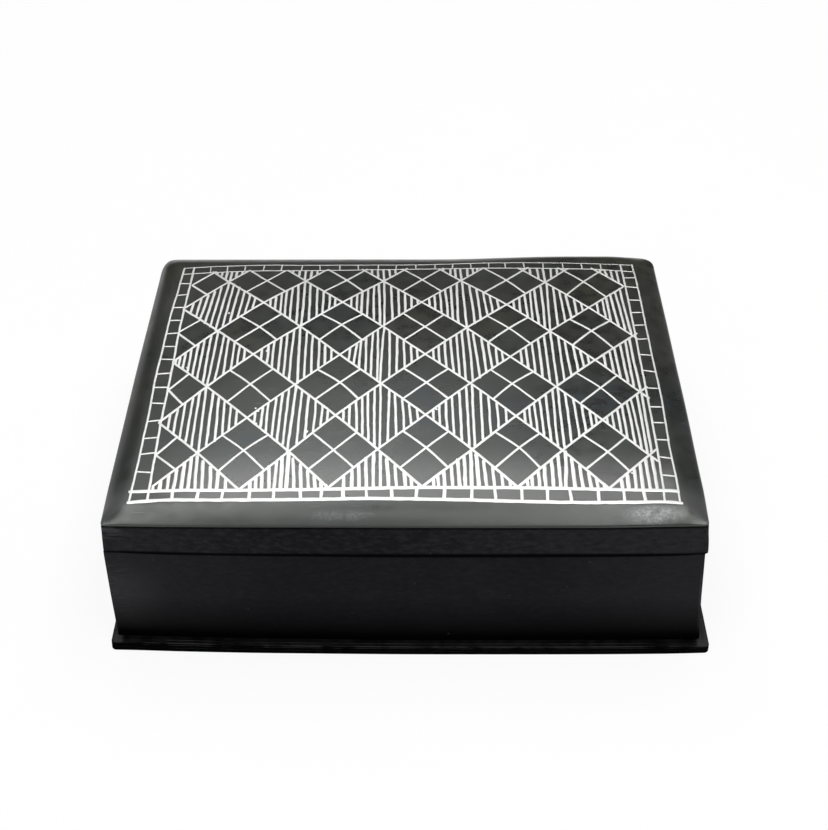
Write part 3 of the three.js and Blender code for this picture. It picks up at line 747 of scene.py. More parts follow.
def velvet():
    """Wine-red pile, paler where it leans."""
    cloth = Finish("velvet", Specular_IOR_Level=0.15, Sheen_Weight=0.45, Sheen_Roughness=0.35,
                   Sheen_Tint=(0.85, 0.45, 0.5, 1))
    pile = cloth.use("velvet_pile")
    lean = cloth.blend(pile["Lean"], PILE_DARK, PILE_PALE)
    color = cloth.blend(pile["Tufts"], PILE_DEEP, lean)
    return cloth.done(color, cloth.scaled(pile["Tufts"], 0.1, 0.85), pile["Height"], PILE_DEPTH)


LID_ALLOY = lid_alloy()
# The band's first shade is painted shade under the plate's lip, its second painted shade above the seam.
BAND_ALLOY = wall_alloy(
    "blackened_alloy_band", foot=(0.0426, 0.0414, 0.0), seam=(0.0341, 0.0346, 0.0),
    strokes=(900, 0.35, 0.9), corner_wear_and_highlight=0.0, coarse=0.35, right=0.25,
)
# The wall's first shade is painted shade at its foot.
WALL_ALLOY = wall_alloy(
    "blackened_alloy_wall", foot=(0.0046, 0.0185, 0.002), seam=(0.0, 0.001, 0.0),
    strokes=(2500, 0.02, 0.4), corner_wear_and_highlight=0.5, coarse=0.12, right=0.0,
)
BASE_ALLOY = base_alloy()
SILVER = silver()
BRASS = brass()
VELVET = velvet()


# Base plate

def base_levels():
    """Soft outer edge with two fine grooves round it and a hair-thin bead on top, from the underside up."""
    rows = [
        (0.00000, 0.00035), (0.00012, 0.00012), (0.00030, 0.00002), (0.00068, 0.0), (0.00084, 0.00012),
        (0.00096, 0.00032), (0.00108, 0.00012), (0.00122, 0.0), (0.00152, 0.0), (0.00166, 0.00012),
        (0.00178, 0.00032), (0.00190, 0.00012), (0.00204, 0.0), (0.00222, 0.00002), (0.00236, 0.00012),
        (0.00246, 0.00028), (BASE_TOP, 0.00042), (BASE_TOP, 0.00098), (BEAD_TOP, 0.00106), (BEAD_TOP, 0.00116),
        (BASE_TOP, 0.00124), (BASE_TOP, 0.00300),
    ]
    return [
        (z, BASE_HALF_X - inset, BASE_HALF_Y - inset, BASE_CORNER - 0.5 * min(inset, 0.002))
        for z, inset in rows
    ]


base = stack("base_plate_cast", base_levels(), 5, 30, BASE_ALLOY, base_made)
ridden(base, "box", "base_plate")


# Walls of the body and band of the lid: u runs along a side, v from its inner to its outer face, w upwards

def across_side(side, u, v, half_x, half_y):
    if side == "front":
        return (2 * u - 1) * half_x, -(INNER_Y + (half_y - INNER_Y) * v)
    sign = -1 if side == "left" else 1
    return sign * (INNER_X + (half_x - INNER_X) * v), (2 * u - 1) * INNER_Y


def wall_place(side):
    def place(u, v, w):
        lean = 1 - w
        x, y = across_side(side, u, v, WALL_HALF_X + SIDE_LEAN * lean, WALL_HALF_Y + FRONT_LEAN * lean)
        return Vector((x, y, BASE_TOP + (RIM_Z - BASE_TOP) * w))
    return place


def rim_place(side):
    def place(u, v, w):
        flare = LID_FLARE * (1 - w) + LID_FLARE_TOP * w
        z = LID_BOTTOM + (PLATE_BOTTOM - LID_BOTTOM) * w
        x, y = round_corner(*across_side(side, u, v, LID_HALF_X + flare, LID_HALF_Y + flare), z)
        return Vector((LID_X + x, y, z))
    return place


def wall_weight(middle):
    """Softer upright outer corners; crisper edges elsewhere, and hair-thin ones where pieces meet."""
    if abs(middle.x) > 0.0745 and abs(middle.y) > 0.0585:
        return 1.0
    meets = abs(abs(middle.y) - INNER_Y) < 0.0004 and abs(middle.x) > INNER_X - 0.001
    return 0.07 if meets else 0.3


def rim_weight(middle):
    """Soft long edges, hair-thin ones where pieces meet, and none down the rounded corners."""
    if abs(middle.z - LID_BOTTOM) > 0.0014 and abs(middle.z - PLATE_BOTTOM) > 0.0001:
        return 0.0
    return 0.07 if abs(middle.z - PLATE_BOTTOM) < 0.0001 else 0.15


FRONT_RIM_ACROSS = (stations(40, 0.001, 0.0026, 0.005, 0.0073, 0.013, 0.02, 0.03, 0.04, 0.049),
                    [0, 0.2, 0.4, 0.6, 0.75, 0.87, 0.95, 1])
SIDE_RIM_ACROSS = (stations(40, 0.008, 0.016, 0.025, 0.035), [0, 0.5, 1])

for side in ("front", "left", "right"):
    across = (stations(40, 0.004, 0.012), [0, 0.5, 1], stations(10, 0.03))
    wall = slab(f"{side}_wall_cast", wall_place(side), across, wall_weight, WALL_ALLOY, CORNER)
    ridden(wall, "box", f"{side}_wall")

for side in ("front", "left", "right"):
    across = (*(FRONT_RIM_ACROSS if side == "front" else SIDE_RIM_ACROSS), stations(9, 0.03))
    rim = slab(f"lid_{side}_rim_cast", rim_place(side), across, rim_weight, BAND_ALLOY, BAND_SOFT)
    ridden(rim, "lid", f"lid_{side}_rim")


def softened_copy(node_name, material, rounded):
    """A piece of the frame's own shape, with its faces joined, its ends set out by hand and its edges softened."""
    bm = bmesh.new()
    bm.from_mesh(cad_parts[node_name].data)
    bmesh.ops.remove_doubles(bm, verts=bm.verts, dist=0.000004)
    bmesh.ops.dissolve_limit(bm, angle_limit=math.radians(0.6), verts=bm.verts, edges=bm.edges)
    cuts = [((sign * INNER_X, 0, 0), (1, 0, 0)) for sign in (-1, 1)]
    if rounded:
        cuts += [((LID_X + sign * (LID_HALF_X - d), 0, 0), (1, 0, 0))
                 for sign in (-1, 1) for d in (0.0004, 0.0011, 0.002, 0.0045, 0.006)]
        cuts += [((0, LID_HALF_Y - d, 0), (0, 1, 0)) for d in (0.0003, 0.0008, 0.0014, 0.0022)]
        cuts += [((0, 0, z), (0, 0, 1)) for z in (0.0360, 0.0375, 0.0390, 0.0405)]
    for place, normal in cuts:
        whole = bm.verts[:] + bm.edges[:] + bm.faces[:]
        bmesh.ops.bisect_plane(bm, geom=whole, plane_co=place, plane_no=normal, dist=0.000001)
    for vert in bm.verts:
        x, y, z = vert.co
        if rounded and abs(x) > INNER_X - 0.004:
            u, y = round_corner(x - LID_X, y, z)
            x = u + LID_X
        vert.co = hand_made((x, y, z))
    obj = new_object(f"{node_name}_cast", bm, material)
    return shade(soften(obj, HAIR_ROUND, 2, "ANGLE", 25), 30)


ridden(softened_copy("rear_wall", WALL_ALLOY, False), "box", "rear_wall")
ridden(softened_copy("lid_rear_rim", BAND_ALLOY, True), "lid", "lid_rear_rim")


# Domed lid plate

def plate_stations(half):
    """Places across the plate, close together at its soft edge and in its curved margins."""
    edge = [0, 0.00002, 0.00007, 0.00014, 0.00022, 0.0004, 0.0007, PLATE_SOFT]
    margin = [PLATE_SOFT + (MARGIN + 0.001 - PLATE_SOFT) * i / 11 for i in range(1, 12)]
    near = [half - d for d in edge + margin]
    inner = near[-1]
    count = round(2 * inner / PLATE_STEP)
    middle = [inner - 2 * inner * i / count for i in range(1, count)]
    return near + middle + [-value for value in reversed(near)]


def edge_distance(x, y):
    radius = corner_radius(x, y, LID_EDGE)
    over_x = abs(x) - (LID_HALF_X - radius)
    over_y = abs(y) - (LID_HALF_Y - radius)
    outside = math.hypot(max(over_x, 0), max(over_y, 0))
    return radius - outside - min(max(over_x, over_y), 0)


def plate_top(x, y):
    """Height of the finished top at x, y from the plate's middle, with its soft outer edge."""
    inset = min(EDGE_ROUND, max(0.0, edge_distance(x, y)))
    drop = EDGE_ROUND - math.sqrt(EDGE_ROUND ** 2 - (EDGE_ROUND - inset) ** 2)
    return lid_surface(x + LID_X, y) - drop


def lid_plate():
    bm = bmesh.new()
    grid = []
    for y in plate_stations(LID_HALF_Y):
        inside = [round_corner(x, y, LID_EDGE) for x in plate_stations(LID_HALF_X)]
        grid.append([bm.verts.new(hand_made((px + LID_X, py, plate_top(px, py)))) for px, py in inside])
    edge = carpet(bm, grid)
    above = edge
    for z, flare in ((LID_EDGE - 0.00035, 0.0), (LID_EDGE - 0.0006, -0.00012), (PLATE_BOTTOM, -0.0003)):
        ring = []
        for vert in edge:
            out = Vector((vert.co.x - LID_X, vert.co.y, 0)).normalized() * flare
            ring.append(bm.verts.new((vert.co.x + out.x, vert.co.y + out.y, z)))
        bridge(bm, above, ring)
        above = ring
    bm.faces.new(above)
    return closed_object("lid_plate_domed", bm, LID_ALLOY, 50)


ridden(lid_plate(), "lid", "lid_plate")


# Hinges

def hinge_leaf(name, centre, word, up):
    """A leaf with its rolled knuckles: the body's has three, the lid's two."""
    pitch = (2 * HINGE_HALF + KNUCKLE_GAP) / KNUCKLES
    start = centre - HINGE_HALF
    near, far = HINGE_Z + up * (BARREL + KNUCKLE_GAP), HINGE_Z + up * LEAF_REACH[word]
    outer = INNER_Y + LEAF
    reach = math.acos((BARREL - LEAF) / BARREL)
    turns = [math.pi - reach - i * (2 * math.pi - reach) / 20 for i in range(21)]
    roll = [(HINGE_Y + BARREL * math.cos(t), HINGE_Z + up * BARREL * math.sin(t)) for t in turns]
    low = [(INNER_Y, near), (INNER_Y, far), (outer, far), (outer, near)]
    bm = bmesh.new()
    rows = []
    for i in range(KNUCKLES):
        for x in (start + i * pitch, start + (i + 1) * pitch - KNUCKLE_GAP):
            flat = [bm.verts.new((x, y, z)) for y, z in low]
            rows.append((flat, [bm.verts.new((x, y, z)) for y, z in roll], i))
    own = 0 if up > 0 else 1
    for (low_a, roll_a, i), (low_b, roll_b, j) in zip(rows, rows[1:]):
        for k in range(3):
            bm.faces.new([low_a[k], low_a[k + 1], low_b[k + 1], low_b[k]])
        if i == j and i % 2 != own:
            chain_a, chain_b = [low_a[3], *roll_a, low_a[0]], [low_b[3], *roll_b, low_b[0]]
            for k in range(len(chain_a) - 1):
                bm.faces.new([chain_a[k], chain_a[k + 1], chain_b[k + 1], chain_b[k]])
            bm.faces.new(chain_a)
            bm.faces.new(chain_b)
        else:
            bm.faces.new([low_a[3], low_a[0], low_b[0], low_b[3]])
    bm.faces.new(rows[0][0])
    bm.faces.new(rows[-1][0])
    bmesh.ops.delete(bm, geom=[v for v in bm.verts if not v.link_faces], context="VERTS")
    return soften(closed_object(name, bm, BRASS, 35), LEAF_ROUND, 2, "ANGLE", 50)


def rivet(name, x, word, up):
    z = HINGE_Z + up * RIVET_AWAY
    length = RIVET_FACE[word] - INNER_Y
    profile = [
        (0, -0.00010), (0.0006, -0.00009), (0.0011, -0.00003), (0.0013, 0.00002), (0.0007, 0.00055),
        (0.0007, length), (0.0011, length), (0.00108, length + 0.00014), (0.0009, length + 0.00026),
        (0.0005, length + 0.00034), (0, length + 0.00036),
    ]
    return lathe(name, profile, 28, BRASS, lambda a, b, h: (x + a, INNER_Y + h, z + b))


def hinge_pin(name, centre):
    end = HINGE_HALF + PIN_PAST
    profile = [
        (0, -end), (PIN * 0.55, -end), (PIN * 0.85, -end + 0.0001), (PIN, -end + 0.0003),
        (PIN, end - 0.0003), (PIN * 0.85, end - 0.0001), (PIN * 0.55, end), (0, end),
    ]
    return lathe(name, profile, 24, BRASS, lambda a, b, h: (centre + h, HINGE_Y + a, HINGE_Z + b))


for side, centre in zip(("left", "right"), HINGE_XS):
    for body, word, up in (("box", "body", -1), ("lid", "lid", 1)):
        leaf = hinge_leaf(f"hinge_{side}_{word}_leaf_rolled", centre, word, up)
        ridden(leaf, body, f"hinge_{side}_{word}_leaf")
        for number, offset in ((1, -RIVET_ASIDE), (2, RIVET_ASIDE)):
            made = rivet(f"rivet_{side}_{word}_{number}_closed", centre + offset, word, up)
            ridden(made, body, f"rivet_{side}_{word}_{number}")
    pin = hinge_pin(f"hinge_{side}_pin_turned", centre)
    ridden(pin, "box", f"hinge_{side}_pin")


# Velvet-covered linings

def pad_stations(low, high, edge, step):
    near = [share * edge for share in (0, 0.06, 0.2, 0.42, 0.7, 1.0)]
    count = max(2, round((high - low - 2 * edge) / step))
    middle = [low + edge + (high - low - 2 * edge) * i / count for i in range(1, count)]
    return [low + d for d in near] + middle + [high - d for d in reversed(near)]


def pad(node_name, body, face):
    """A padded card in the space of its solid: face names the side that shows and swells."""
    low, high = (Vector(corner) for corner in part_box(node_name))
    axis = "xyz".index(face[1])
    sign = 1 if face[0] == "+" else -1
    a, b = [i for i in range(3) if i != axis]
    thick = high[axis] - low[axis]
    edge = 0.8 * thick
    back = low[axis] if sign > 0 else high[axis]
    bm = bmesh.new()
    rows = []
    for pa in pad_stations(low[a], high[a], edge, PAD_STEP):
        row = []
        for pb in pad_stations(low[b], high[b], edge, PAD_STEP):
            inset = min(pa - low[a], high[a] - pa, pb - low[b], high[b] - pb)
            rise = math.sqrt(max(0.0, 1 - (1 - min(1.0, inset / edge)) ** 2))
            crown = 0.86 + 0.14 * smooth(0.0, 0.012, inset)
            point = Vector((0, 0, 0))
            point[a], point[b] = pa, pb
            dimple = 0.06 * wave(*point, 0.013, 2.2 + axis) + 0.03 * wave(*point, 0.005, 7.7)
            point[axis] = back + sign * thick * min(1.0, 0.25 + 0.75 * rise * (crown + dimple))
            row.append(bm.verts.new(point))
        rows.append(row)
    border = carpet(bm, rows)
    under = []
    for vert in border:
        point = vert.co.copy()
        point[axis] = back
        under.append(bm.verts.new(point))
    bridge(bm, border, under)
    bm.faces.new(under)
    obj = closed_object(f"{node_name}_velvet", bm, VELVET, 60)
    ridden(obj, body, node_name)


for side, body, face, fill in (
    ("floor", "box", "+z", 0.5), ("front", "box", "+y", 0.4), ("rear", "box", "-y", 0.4),
    ("left", "box", "+x", 0.4), ("right", "box", "-x", 0.4), ("lid", "lid", "-z", 0.5),
):
    pad(f"{side}_lining", body, face)


# Silver wire. Places are in millimetres, measured on the lid from its middle and its front.

# Crossings of the lattice: rows from the front, each from the left; None is the middle of a lined diamond
CROSSINGS = [
    [(-63.6, -48.2), None, (-41.3, -49.6), None, (-18.6, -49.0), None, (5.2, -48.8), None, (29.4, -48.9),
     None, (52.6, -48.9), None],
    [(-64.3, -36.1), (-53.4, -35.8), (-41.4, -35.2), (-29.6, -36.0), (-17.9, -35.7), (-6.4, -35.5), (6.2,
     -34.9), (18.1, -35.4), (30.4, -34.6), (41.7, -35.3), (53.5, -35.4), (64.3, -36.1)],
    [(-65.3, -23.1), None, (-41.6, -22.4), None, (-17.9, -22.2), None, (6.1, -22.1), None, (30.2, -22.2),
     None, (53.4, -22.7), None],
    [(-64.5, -9.1), (-53.9, -8.5), (-41.9, -8.2), (-29.7, -9.0), (-17.3, -8.4), (-6.0, -9.0), (6.4, -8.6),
     (18.4, -8.7), (29.9, -8.6), (41.9, -9.3), (54.2, -9.0), (64.9, -9.9)],
    [(-65.0, 3.6), None, (-42.3, 5.4), None, (-17.8, 4.2), None, (6.2, 4.3), None, (30.0, 3.6), None,
     (53.9, 3.6), None],
    [(-65.3, 17.6), (-53.6, 17.7), (-41.6, 18.8), (-29.9, 18.6), (-17.9, 18.9), (-6.0, 17.9), (6.2, 17.7),
     (18.2, 17.3), (30.4, 17.6), (42.1, 16.7), (54.2, 17.7), (66.0, 16.3)],
    [(-65.1, 29.7), None, (-41.4, 31.6), None, (-18.1, 31.0), None, (5.3, 30.8), None, (30.3, 30.0), None,
     (54.5, 29.7), None],
    [(-64.0, 42.4), (-53.0, 43.7), (-41.4, 43.9), (-29.6, 43.4), (-17.3, 43.6), (-6.2, 42.9), (5.5, 43.8),
     (17.2, 43.3), (30.9, 43.9), (42.5, 42.9), (54.3, 43.8), (66.3, 41.9)],
]

# Upright lines that fill the lined diamonds: by column and row, where each crosses the middle and its lean
FINE_LINES = {
    (1, 0): [(-63.3, -0.1), (-61.6, -0.1), (-59.7, -0.3), (-58.1, 0.0), (-56.1, -0.3), (-54.4, -0.4),
     (-52.6, -0.6), (-50.9, -0.8), (-48.9, -0.8), (-47.1, -0.4), (-44.9, -0.6)],
    (3, 0): [(-38.7, -0.6), (-37.2, -0.6), (-35.7, -0.6), (-33.9, -0.7), (-32.5, 0.0), (-30.9, -0.3),
     (-29.4, -0.1), (-27.6, -0.8), (-25.8, -0.7), (-23.9, -0.8), (-22.2, -1.1), (-20.6, -1.0), (-19.4,
     -1.0)],
    (5, 0): [(-14.9, -0.3), (-12.8, -0.3), (-11.0, -0.4), (-9.1, -0.3), (-7.3, -0.1), (-5.5, -0.1), (-3.5,
     -0.6), (-1.4, -0.7), (0.8, -0.7), (2.4, -0.7), (4.3, -0.7)],
    (7, 0): [(8.0, -0.4), (9.2, -0.4), (10.8, -0.4), (12.8, -0.4), (14.6, -0.4), (16.0, -0.1), (17.7,
     0.0), (19.4, -0.3), (21.4, -0.6), (23.4, -0.4), (25.5, -0.5), (27.4, -0.5)],
    (9, 0): [(31.9, 0.0), (33.1, 0.0), (34.9, -0.1), (36.5, 0.1), (38.4, 0.1), (40.2, 0.1), (41.6, 0.7),
     (43.9, -0.1), (45.9, -0.3), (47.9, -0.4), (49.6, -0.3), (51.4, -0.3)],
    (11, 0): [(55.9, 0.3), (57.5, 0.3), (59.4, 0.4), (61.2, 0.3), (63.0, 0.1), (64.7, 0.1)],
    (1, 2): [(-62.5, -0.1), (-60.7, -0.1), (-58.9, -0.1), (-57.1, 0.0), (-55.4, -0.1), (-53.6, -0.3),
     (-51.6, -0.2), (-49.7, -0.4), (-47.9, -0.5), (-46.2, -0.3), (-44.4, -0.4)],
    (3, 2): [(-39.5, 0.0), (-37.7, 0.1), (-36.2, -0.1), (-34.4, 0.1), (-32.8, 0.1), (-31.2, 0.1), (-29.6,
     0.3), (-27.6, 0.1), (-25.6, 0.1), (-23.6, 0.1), (-21.7, 0.1), (-20.1, 0.1)],
    (5, 2): [(-15.8, -0.3), (-14.2, -0.1), (-12.4, -0.5), (-10.8, -0.3), (-9.2, -0.3), (-7.5, -0.2),
     (-6.0, -0.1), (-3.8, 0.1), (-1.9, -0.3), (0.1, -0.4), (2.0, -0.7), (3.9, -0.6)],
    (7, 2): [(8.2, -0.2), (9.9, -0.1), (11.7, -0.2), (13.4, -0.2), (15.4, -0.1), (17.3, -0.1), (18.9,
     0.0), (21.1, 0.0), (23.2, -0.1), (25.3, -0.1), (27.6, -0.1)],
    (9, 2): [(32.6, -0.2), (34.0, -0.1), (35.5, -0.3), (37.1, -0.2), (38.9, -0.1), (40.7, 0.1), (42.3,
     0.0), (44.2, -0.1), (46.4, -0.3), (48.4, -0.3), (50.3, -0.3), (51.6, -0.3)],
    (11, 2): [(54.7, -0.1), (56.2, -0.1), (57.8, -0.1), (59.3, -0.1), (60.9, -0.2), (62.3, -0.3), (63.9,
     0.0), (65.2, 0.1)],
    (1, 4): [(-64.0, -0.0), (-63.0, -0.0), (-61.7, -0.0), (-60.2, -0.1), (-58.5, 0.1), (-57.0, 0.1),
     (-55.2, 0.0), (-53.7, 0.2), (-51.8, 0.3), (-49.9, -0.1), (-48.1, -0.1), (-46.4, 0.0), (-44.8, -0.0)],
    (3, 4): [(-39.9, -0.1), (-38.2, -0.1), (-36.6, -0.1), (-34.8, -0.1), (-33.2, -0.1), (-31.4, 0.0),
     (-29.4, -0.3), (-27.5, -0.2), (-25.7, -0.3), (-23.8, -0.3), (-22.0, -0.3), (-20.2, -0.3)],
    (5, 4): [(-15.1, 0.5), (-13.5, 0.8), (-12.1, 0.2), (-10.5, -0.1), (-8.8, 0.1), (-7.2, -0.1), (-5.9,
     0.3), (-3.9, -0.1), (-1.8, 0.0), (0.3, -0.3), (2.3, -0.3), (4.0, -0.3)],
    (7, 4): [(8.5, -0.3), (10.1, -0.2), (11.9, -0.3), (13.7, -0.4), (15.4, -0.2), (17.0, -0.2), (18.8,
     -0.3), (20.5, -0.6), (22.6, -0.5), (24.4, -0.6), (26.2, -0.1), (27.8, -0.4)],
    (9, 4): [(33.1, -0.1), (34.7, -0.2), (36.5, -0.1), (38.4, -0.1), (40.3, -0.1), (42.3,
     -0.1), (44.4, -0.1), (46.3, -0.4), (48.4, -0.5), (50.3, -0.6), (52.0, -0.5)],
    (11, 4): [(56.6, -0.3), (58.5, -0.2), (60.1, -0.3), (61.9, -0.2), (63.5, 0.0), (65.0, -0.2)],
    (1, 6): [(-62.5, 0.7), (-60.5, 0.5), (-59.0, 0.9), (-57.3, 0.7), (-55.5, 0.6), (-53.6, 0.6), (-51.9,
     0.5), (-50.1, 0.6), (-48.2, 0.6), (-46.3, 0.7), (-44.4, 0.6)],
    (3, 6): [(-39.4, -0.2), (-37.9, -0.2), (-36.3, -0.2), (-34.8, -0.1), (-33.2, -0.1), (-31.4, -0.3),
     (-29.7, -0.1), (-27.8, -0.3), (-25.7, -0.3), (-23.9, -0.1), (-22.0, -0.1), (-20.3, -0.1)],
    (5, 6): [(-15.5, -0.1), (-13.8, -0.1), (-12.4, 0.0), (-10.7, 0.0), (-8.8, -0.2), (-7.2, -0.4), (-5.8,
     -0.2), (-3.5, -0.4), (-1.5, -0.3), (0.4, -0.2), (2.3, -0.3), (4.1, -0.3)],
    (7, 6): [(7.6, -0.3), (9.2, -0.3), (10.9, -0.3), (12.6, -0.4), (14.2, -0.2), (15.9, 0.0), (17.9,
     -0.3), (20.1, -0.5), (22.0, -0.4), (24.0, -0.7), (25.7, -0.6), (27.7, -0.6)],
    (9, 6): [(32.4, -0.0), (34.2, 0.2), (36.0, -0.3), (37.6, 0.1), (39.1, -0.1), (40.9, 0.1), (42.6, 0.3),
     (44.7, 0.1), (46.7, -0.3), (48.6, -0.6), (50.6, -0.2), (52.5, -0.4)],
    (11, 6): [(57.1, -0.1), (59.0, -0.1), (60.3, -0.1), (62.0, -0.5), (63.6, -0.5), (65.2, -0.4)],
    (1, 8): [(-56.9, 0.4), (-55.5, 0.4), (-54.0, 0.4), (-52.6, 0.4), (-51.0, 0.4), (-49.4, 0.4)],
    (3, 8): [(-33.8, 0.1), (-31.8, 0.1), (-30.0, 0.0), (-28.2, 0.2), (-26.4, 0.1)],
    (5, 8): [(-9.8, -0.5), (-8.0, -0.4), (-6.3, -0.6), (-4.5, -0.8), (-2.6, -0.7)],
    (7, 8): [(12.0, 0.0), (14.2, 0.2), (15.6, -0.2), (17.2, -0.4), (19.3, -0.2), (21.0, -0.3), (22.4,
     -0.3)],
    (9, 8): [(36.5, 0.0), (38.5, 0.2), (40.7, -0.2), (42.5, -0.2), (44.8, 0.4), (46.7, 0.1), (48.6, 0.1)],
    (11, 8): [(60.0, -1.1), (61.5, -1.6), (63.2, -0.4), (64.9, -0.2)],
}

# The double border: places along each line, from its left or front end
BORDER = {
    "outer_front": [(-69.2, -53.9), (-60, -53.1), (-48, -53.2), (-36, -53.25), (-24, -53.2), (-8, -53.0),
                    (4, -53.15), (16, -53.4), (30, -53.85), (44, -54.1), (56, -53.9), (66, -53.6), (70.6, -54.0)],
    "inner_front": [(-69.3, -49.9), (-56, -49.65), (-44, -49.8), (-28, -49.8), (-12, -49.6), (4, -49.25),
                    (20, -49.2), (36, -49.2), (52, -49.4), (66, -49.45), (70.3, -49.6)],
    "inner_rear": [(-67.6, 48.6), (-60, 49.1), (-52, 49.6), (-44, 49.9), (-30, 49.65), (-20, 49.7), (-10, 49.9),
                   (0, 50.2), (10, 50.5), (20, 50.9), (30, 51.2), (45, 51.3), (58, 51.2), (64, 50.7), (70.2, 50.2)],
    "outer_rear": [(-67.4, 52.0), (-60, 52.6), (-52, 53.0), (-40, 53.25), (-28, 52.95), (-10, 52.9), (4, 53.15),
                   (16, 53.75), (28, 54.5), (40, 54.75), (52, 54.65), (62, 54.25), (70.3, 53.9)],
    "outer_left": [(-68.7, -54.2), (-68.5, -40), (-68.5, -28), (-68.5, -18), (-68.75, -8), (-68.85, 0),
                   (-68.65, 8), (-68.55, 20), (-68.3, 30), (-67.9, 38), (-67.65, 46), (-67.35, 52.3)],
    "inner_left": [(-64.15, -53.4), (-64.3, -44), (-64.5, -34), (-64.7, -22), (-64.65, -10), (-64.75, 4),
                   (-64.9, 20), (-64.75, 32), (-64.6, 40), (-64.4, 52.5)],
    "inner_right": [(66.0, -54.1), (66.3, -49), (66.45, -44), (66.7, -30), (66.75, -10), (66.75, 10),
                    (66.75, 30), (66.7, 45), (66.55, 54.3)],
    "outer_right": [(69.9, -54.4), (70.1, -44), (70.05, -34), (70.3, -24), (70.6, -12), (70.5, 0),
                    (70.4, 12), (70.4, 24), (70.45, 36), (70.4, 46), (70.1, 54.5)],
}
BORDER_WIDTH = {
    "outer_front": 1.13, "inner_front": 1.05, "inner_rear": 0.37, "outer_rear": 0.33,
    "outer_left": 0.56, "inner_left": 0.67, "inner_right": 0.64, "outer_right": 0.52,
}

# Short wires across the border
TIES = {
    "front": [-58.05, -51.65, -45.4, -38.55, -32.45, -25.7, -20.45, -14.95, -9.0, -2.6, 3.65, 10.7, 17.6,
              23.5, 30.2, 36.65, 42.5, 49.55, 56.0, 61.2],
    "rear": [-59.25, -54.15, -48.75, -43.0, -37.55, -31.3, -25.8, -19.75, -14.1, -7.95, -2.45, 3.6, 9.5,
             14.9, 20.5, 26.0, 31.05, 36.8, 42.7, 48.75, 54.55, 60.4],
    "left": [-42.6, -35.4, -29.2, -22.15, -14.7, -7.7, -1.5, 5.05, 11.15, 17.5, 24.0, 30.65, 37.3, 43.4],
    "right": [-43.8, -36.85, -29.8, -22.75, -16.1, -7.9, -0.2, 7.4, 15.0, 21.85, 28.2, 34.65, 41.65, 46.8],
}

# Beads and slips of silver where wires end or were mended: place, length and turn in degrees
SLIPS = [
    (-51.2, 26.5, 0.9, 80), (-39.6, -18.6, 0.5, 30), (-38.9, -19.8, 0.6, 70), (-39.1, -24.9, 0.9, 60),
    (-25.3, -28.5, 0.9, 80), (-38.5, 6.8, 1.1, 85), (-11.3, 11.1, 0.7, 50), (9.0, -19.9, 0.6, 45),
    (56.2, 1.0, 0.9, 80), (65.2, -9.4, 0.8, 60), (65.4, -11.4, 0.8, 120), (64.9, -34.6, 0.9, 70),
    (65.3, -37.3, 1.0, 130), (59.0, -43.2, 0.6, 60), (20.9, -6.2, 0.6, 45), (-60.5, 0.6, 0.5, 30),
]

# Width of each kind of wire, how far it wavers, and how much wider it is at the front
LATTICE_WIRE = {"width": 0.69, "waver": 0.06, "front": 0.15}
QUARTER_WIRE = {"width": 0.66, "waver": 0.06, "front": 0.15}
FINE_WAVER, BORDER_WAVER = 0.09, 0.09
SLIP_WIRE = {"width": 0.75, "waver": 0.05}
TIE_WIRES = {
    "front": {"width": 0.86, "waver": 0.05}, "rear": {"width": 0.40, "waver": 0.05},
    "left": {"width": 0.52, "waver": 0.04}, "right": {"width": 0.52, "waver": 0.04},
}
FINE_WIDTHS = {0: 0.93, 2: 0.71, 4: 0.72, 6: 0.71, 8: 0.74}
COLUMNS, ROWS = 12, 8
STEP_X, STEP_Y, WIRE_STEP = 11.85, 13.2, 1.1
END_WIDTH, END_WAVER, END_PROUD = 0.72, 0.35, 0.6
WIRE_PROUD, WIRE_SUNK = 0.00007, 0.00006


def along(points, t, axis):
    """The other coordinate of a border line where its coordinate on axis is t."""
    rows = sorted(points, key=lambda p: p[axis])
    for a, b in zip(rows, rows[1:]):
        if t <= b[axis] or b is rows[-1]:
            share = (t - a[axis]) / (b[axis] - a[axis])
            return a[1 - axis] + share * (b[1 - axis] - a[1 - axis])
    return rows[0][1 - axis]


def resampled(points):
    """Points a step apart on a smooth line through the given ones."""
    made = []
    count = len(points)
    for i in range(count - 1):
        near = [Vector(points[k]) for k in (max(i - 1, 0), i, i + 1, min(i + 2, count - 1))]
        pieces = max(1, round((near[2] - near[1]).length / WIRE_STEP))
        made += [spline(*near, k / pieces) for k in range(pieces)]
    made.append(Vector(points[-1]))
    return made


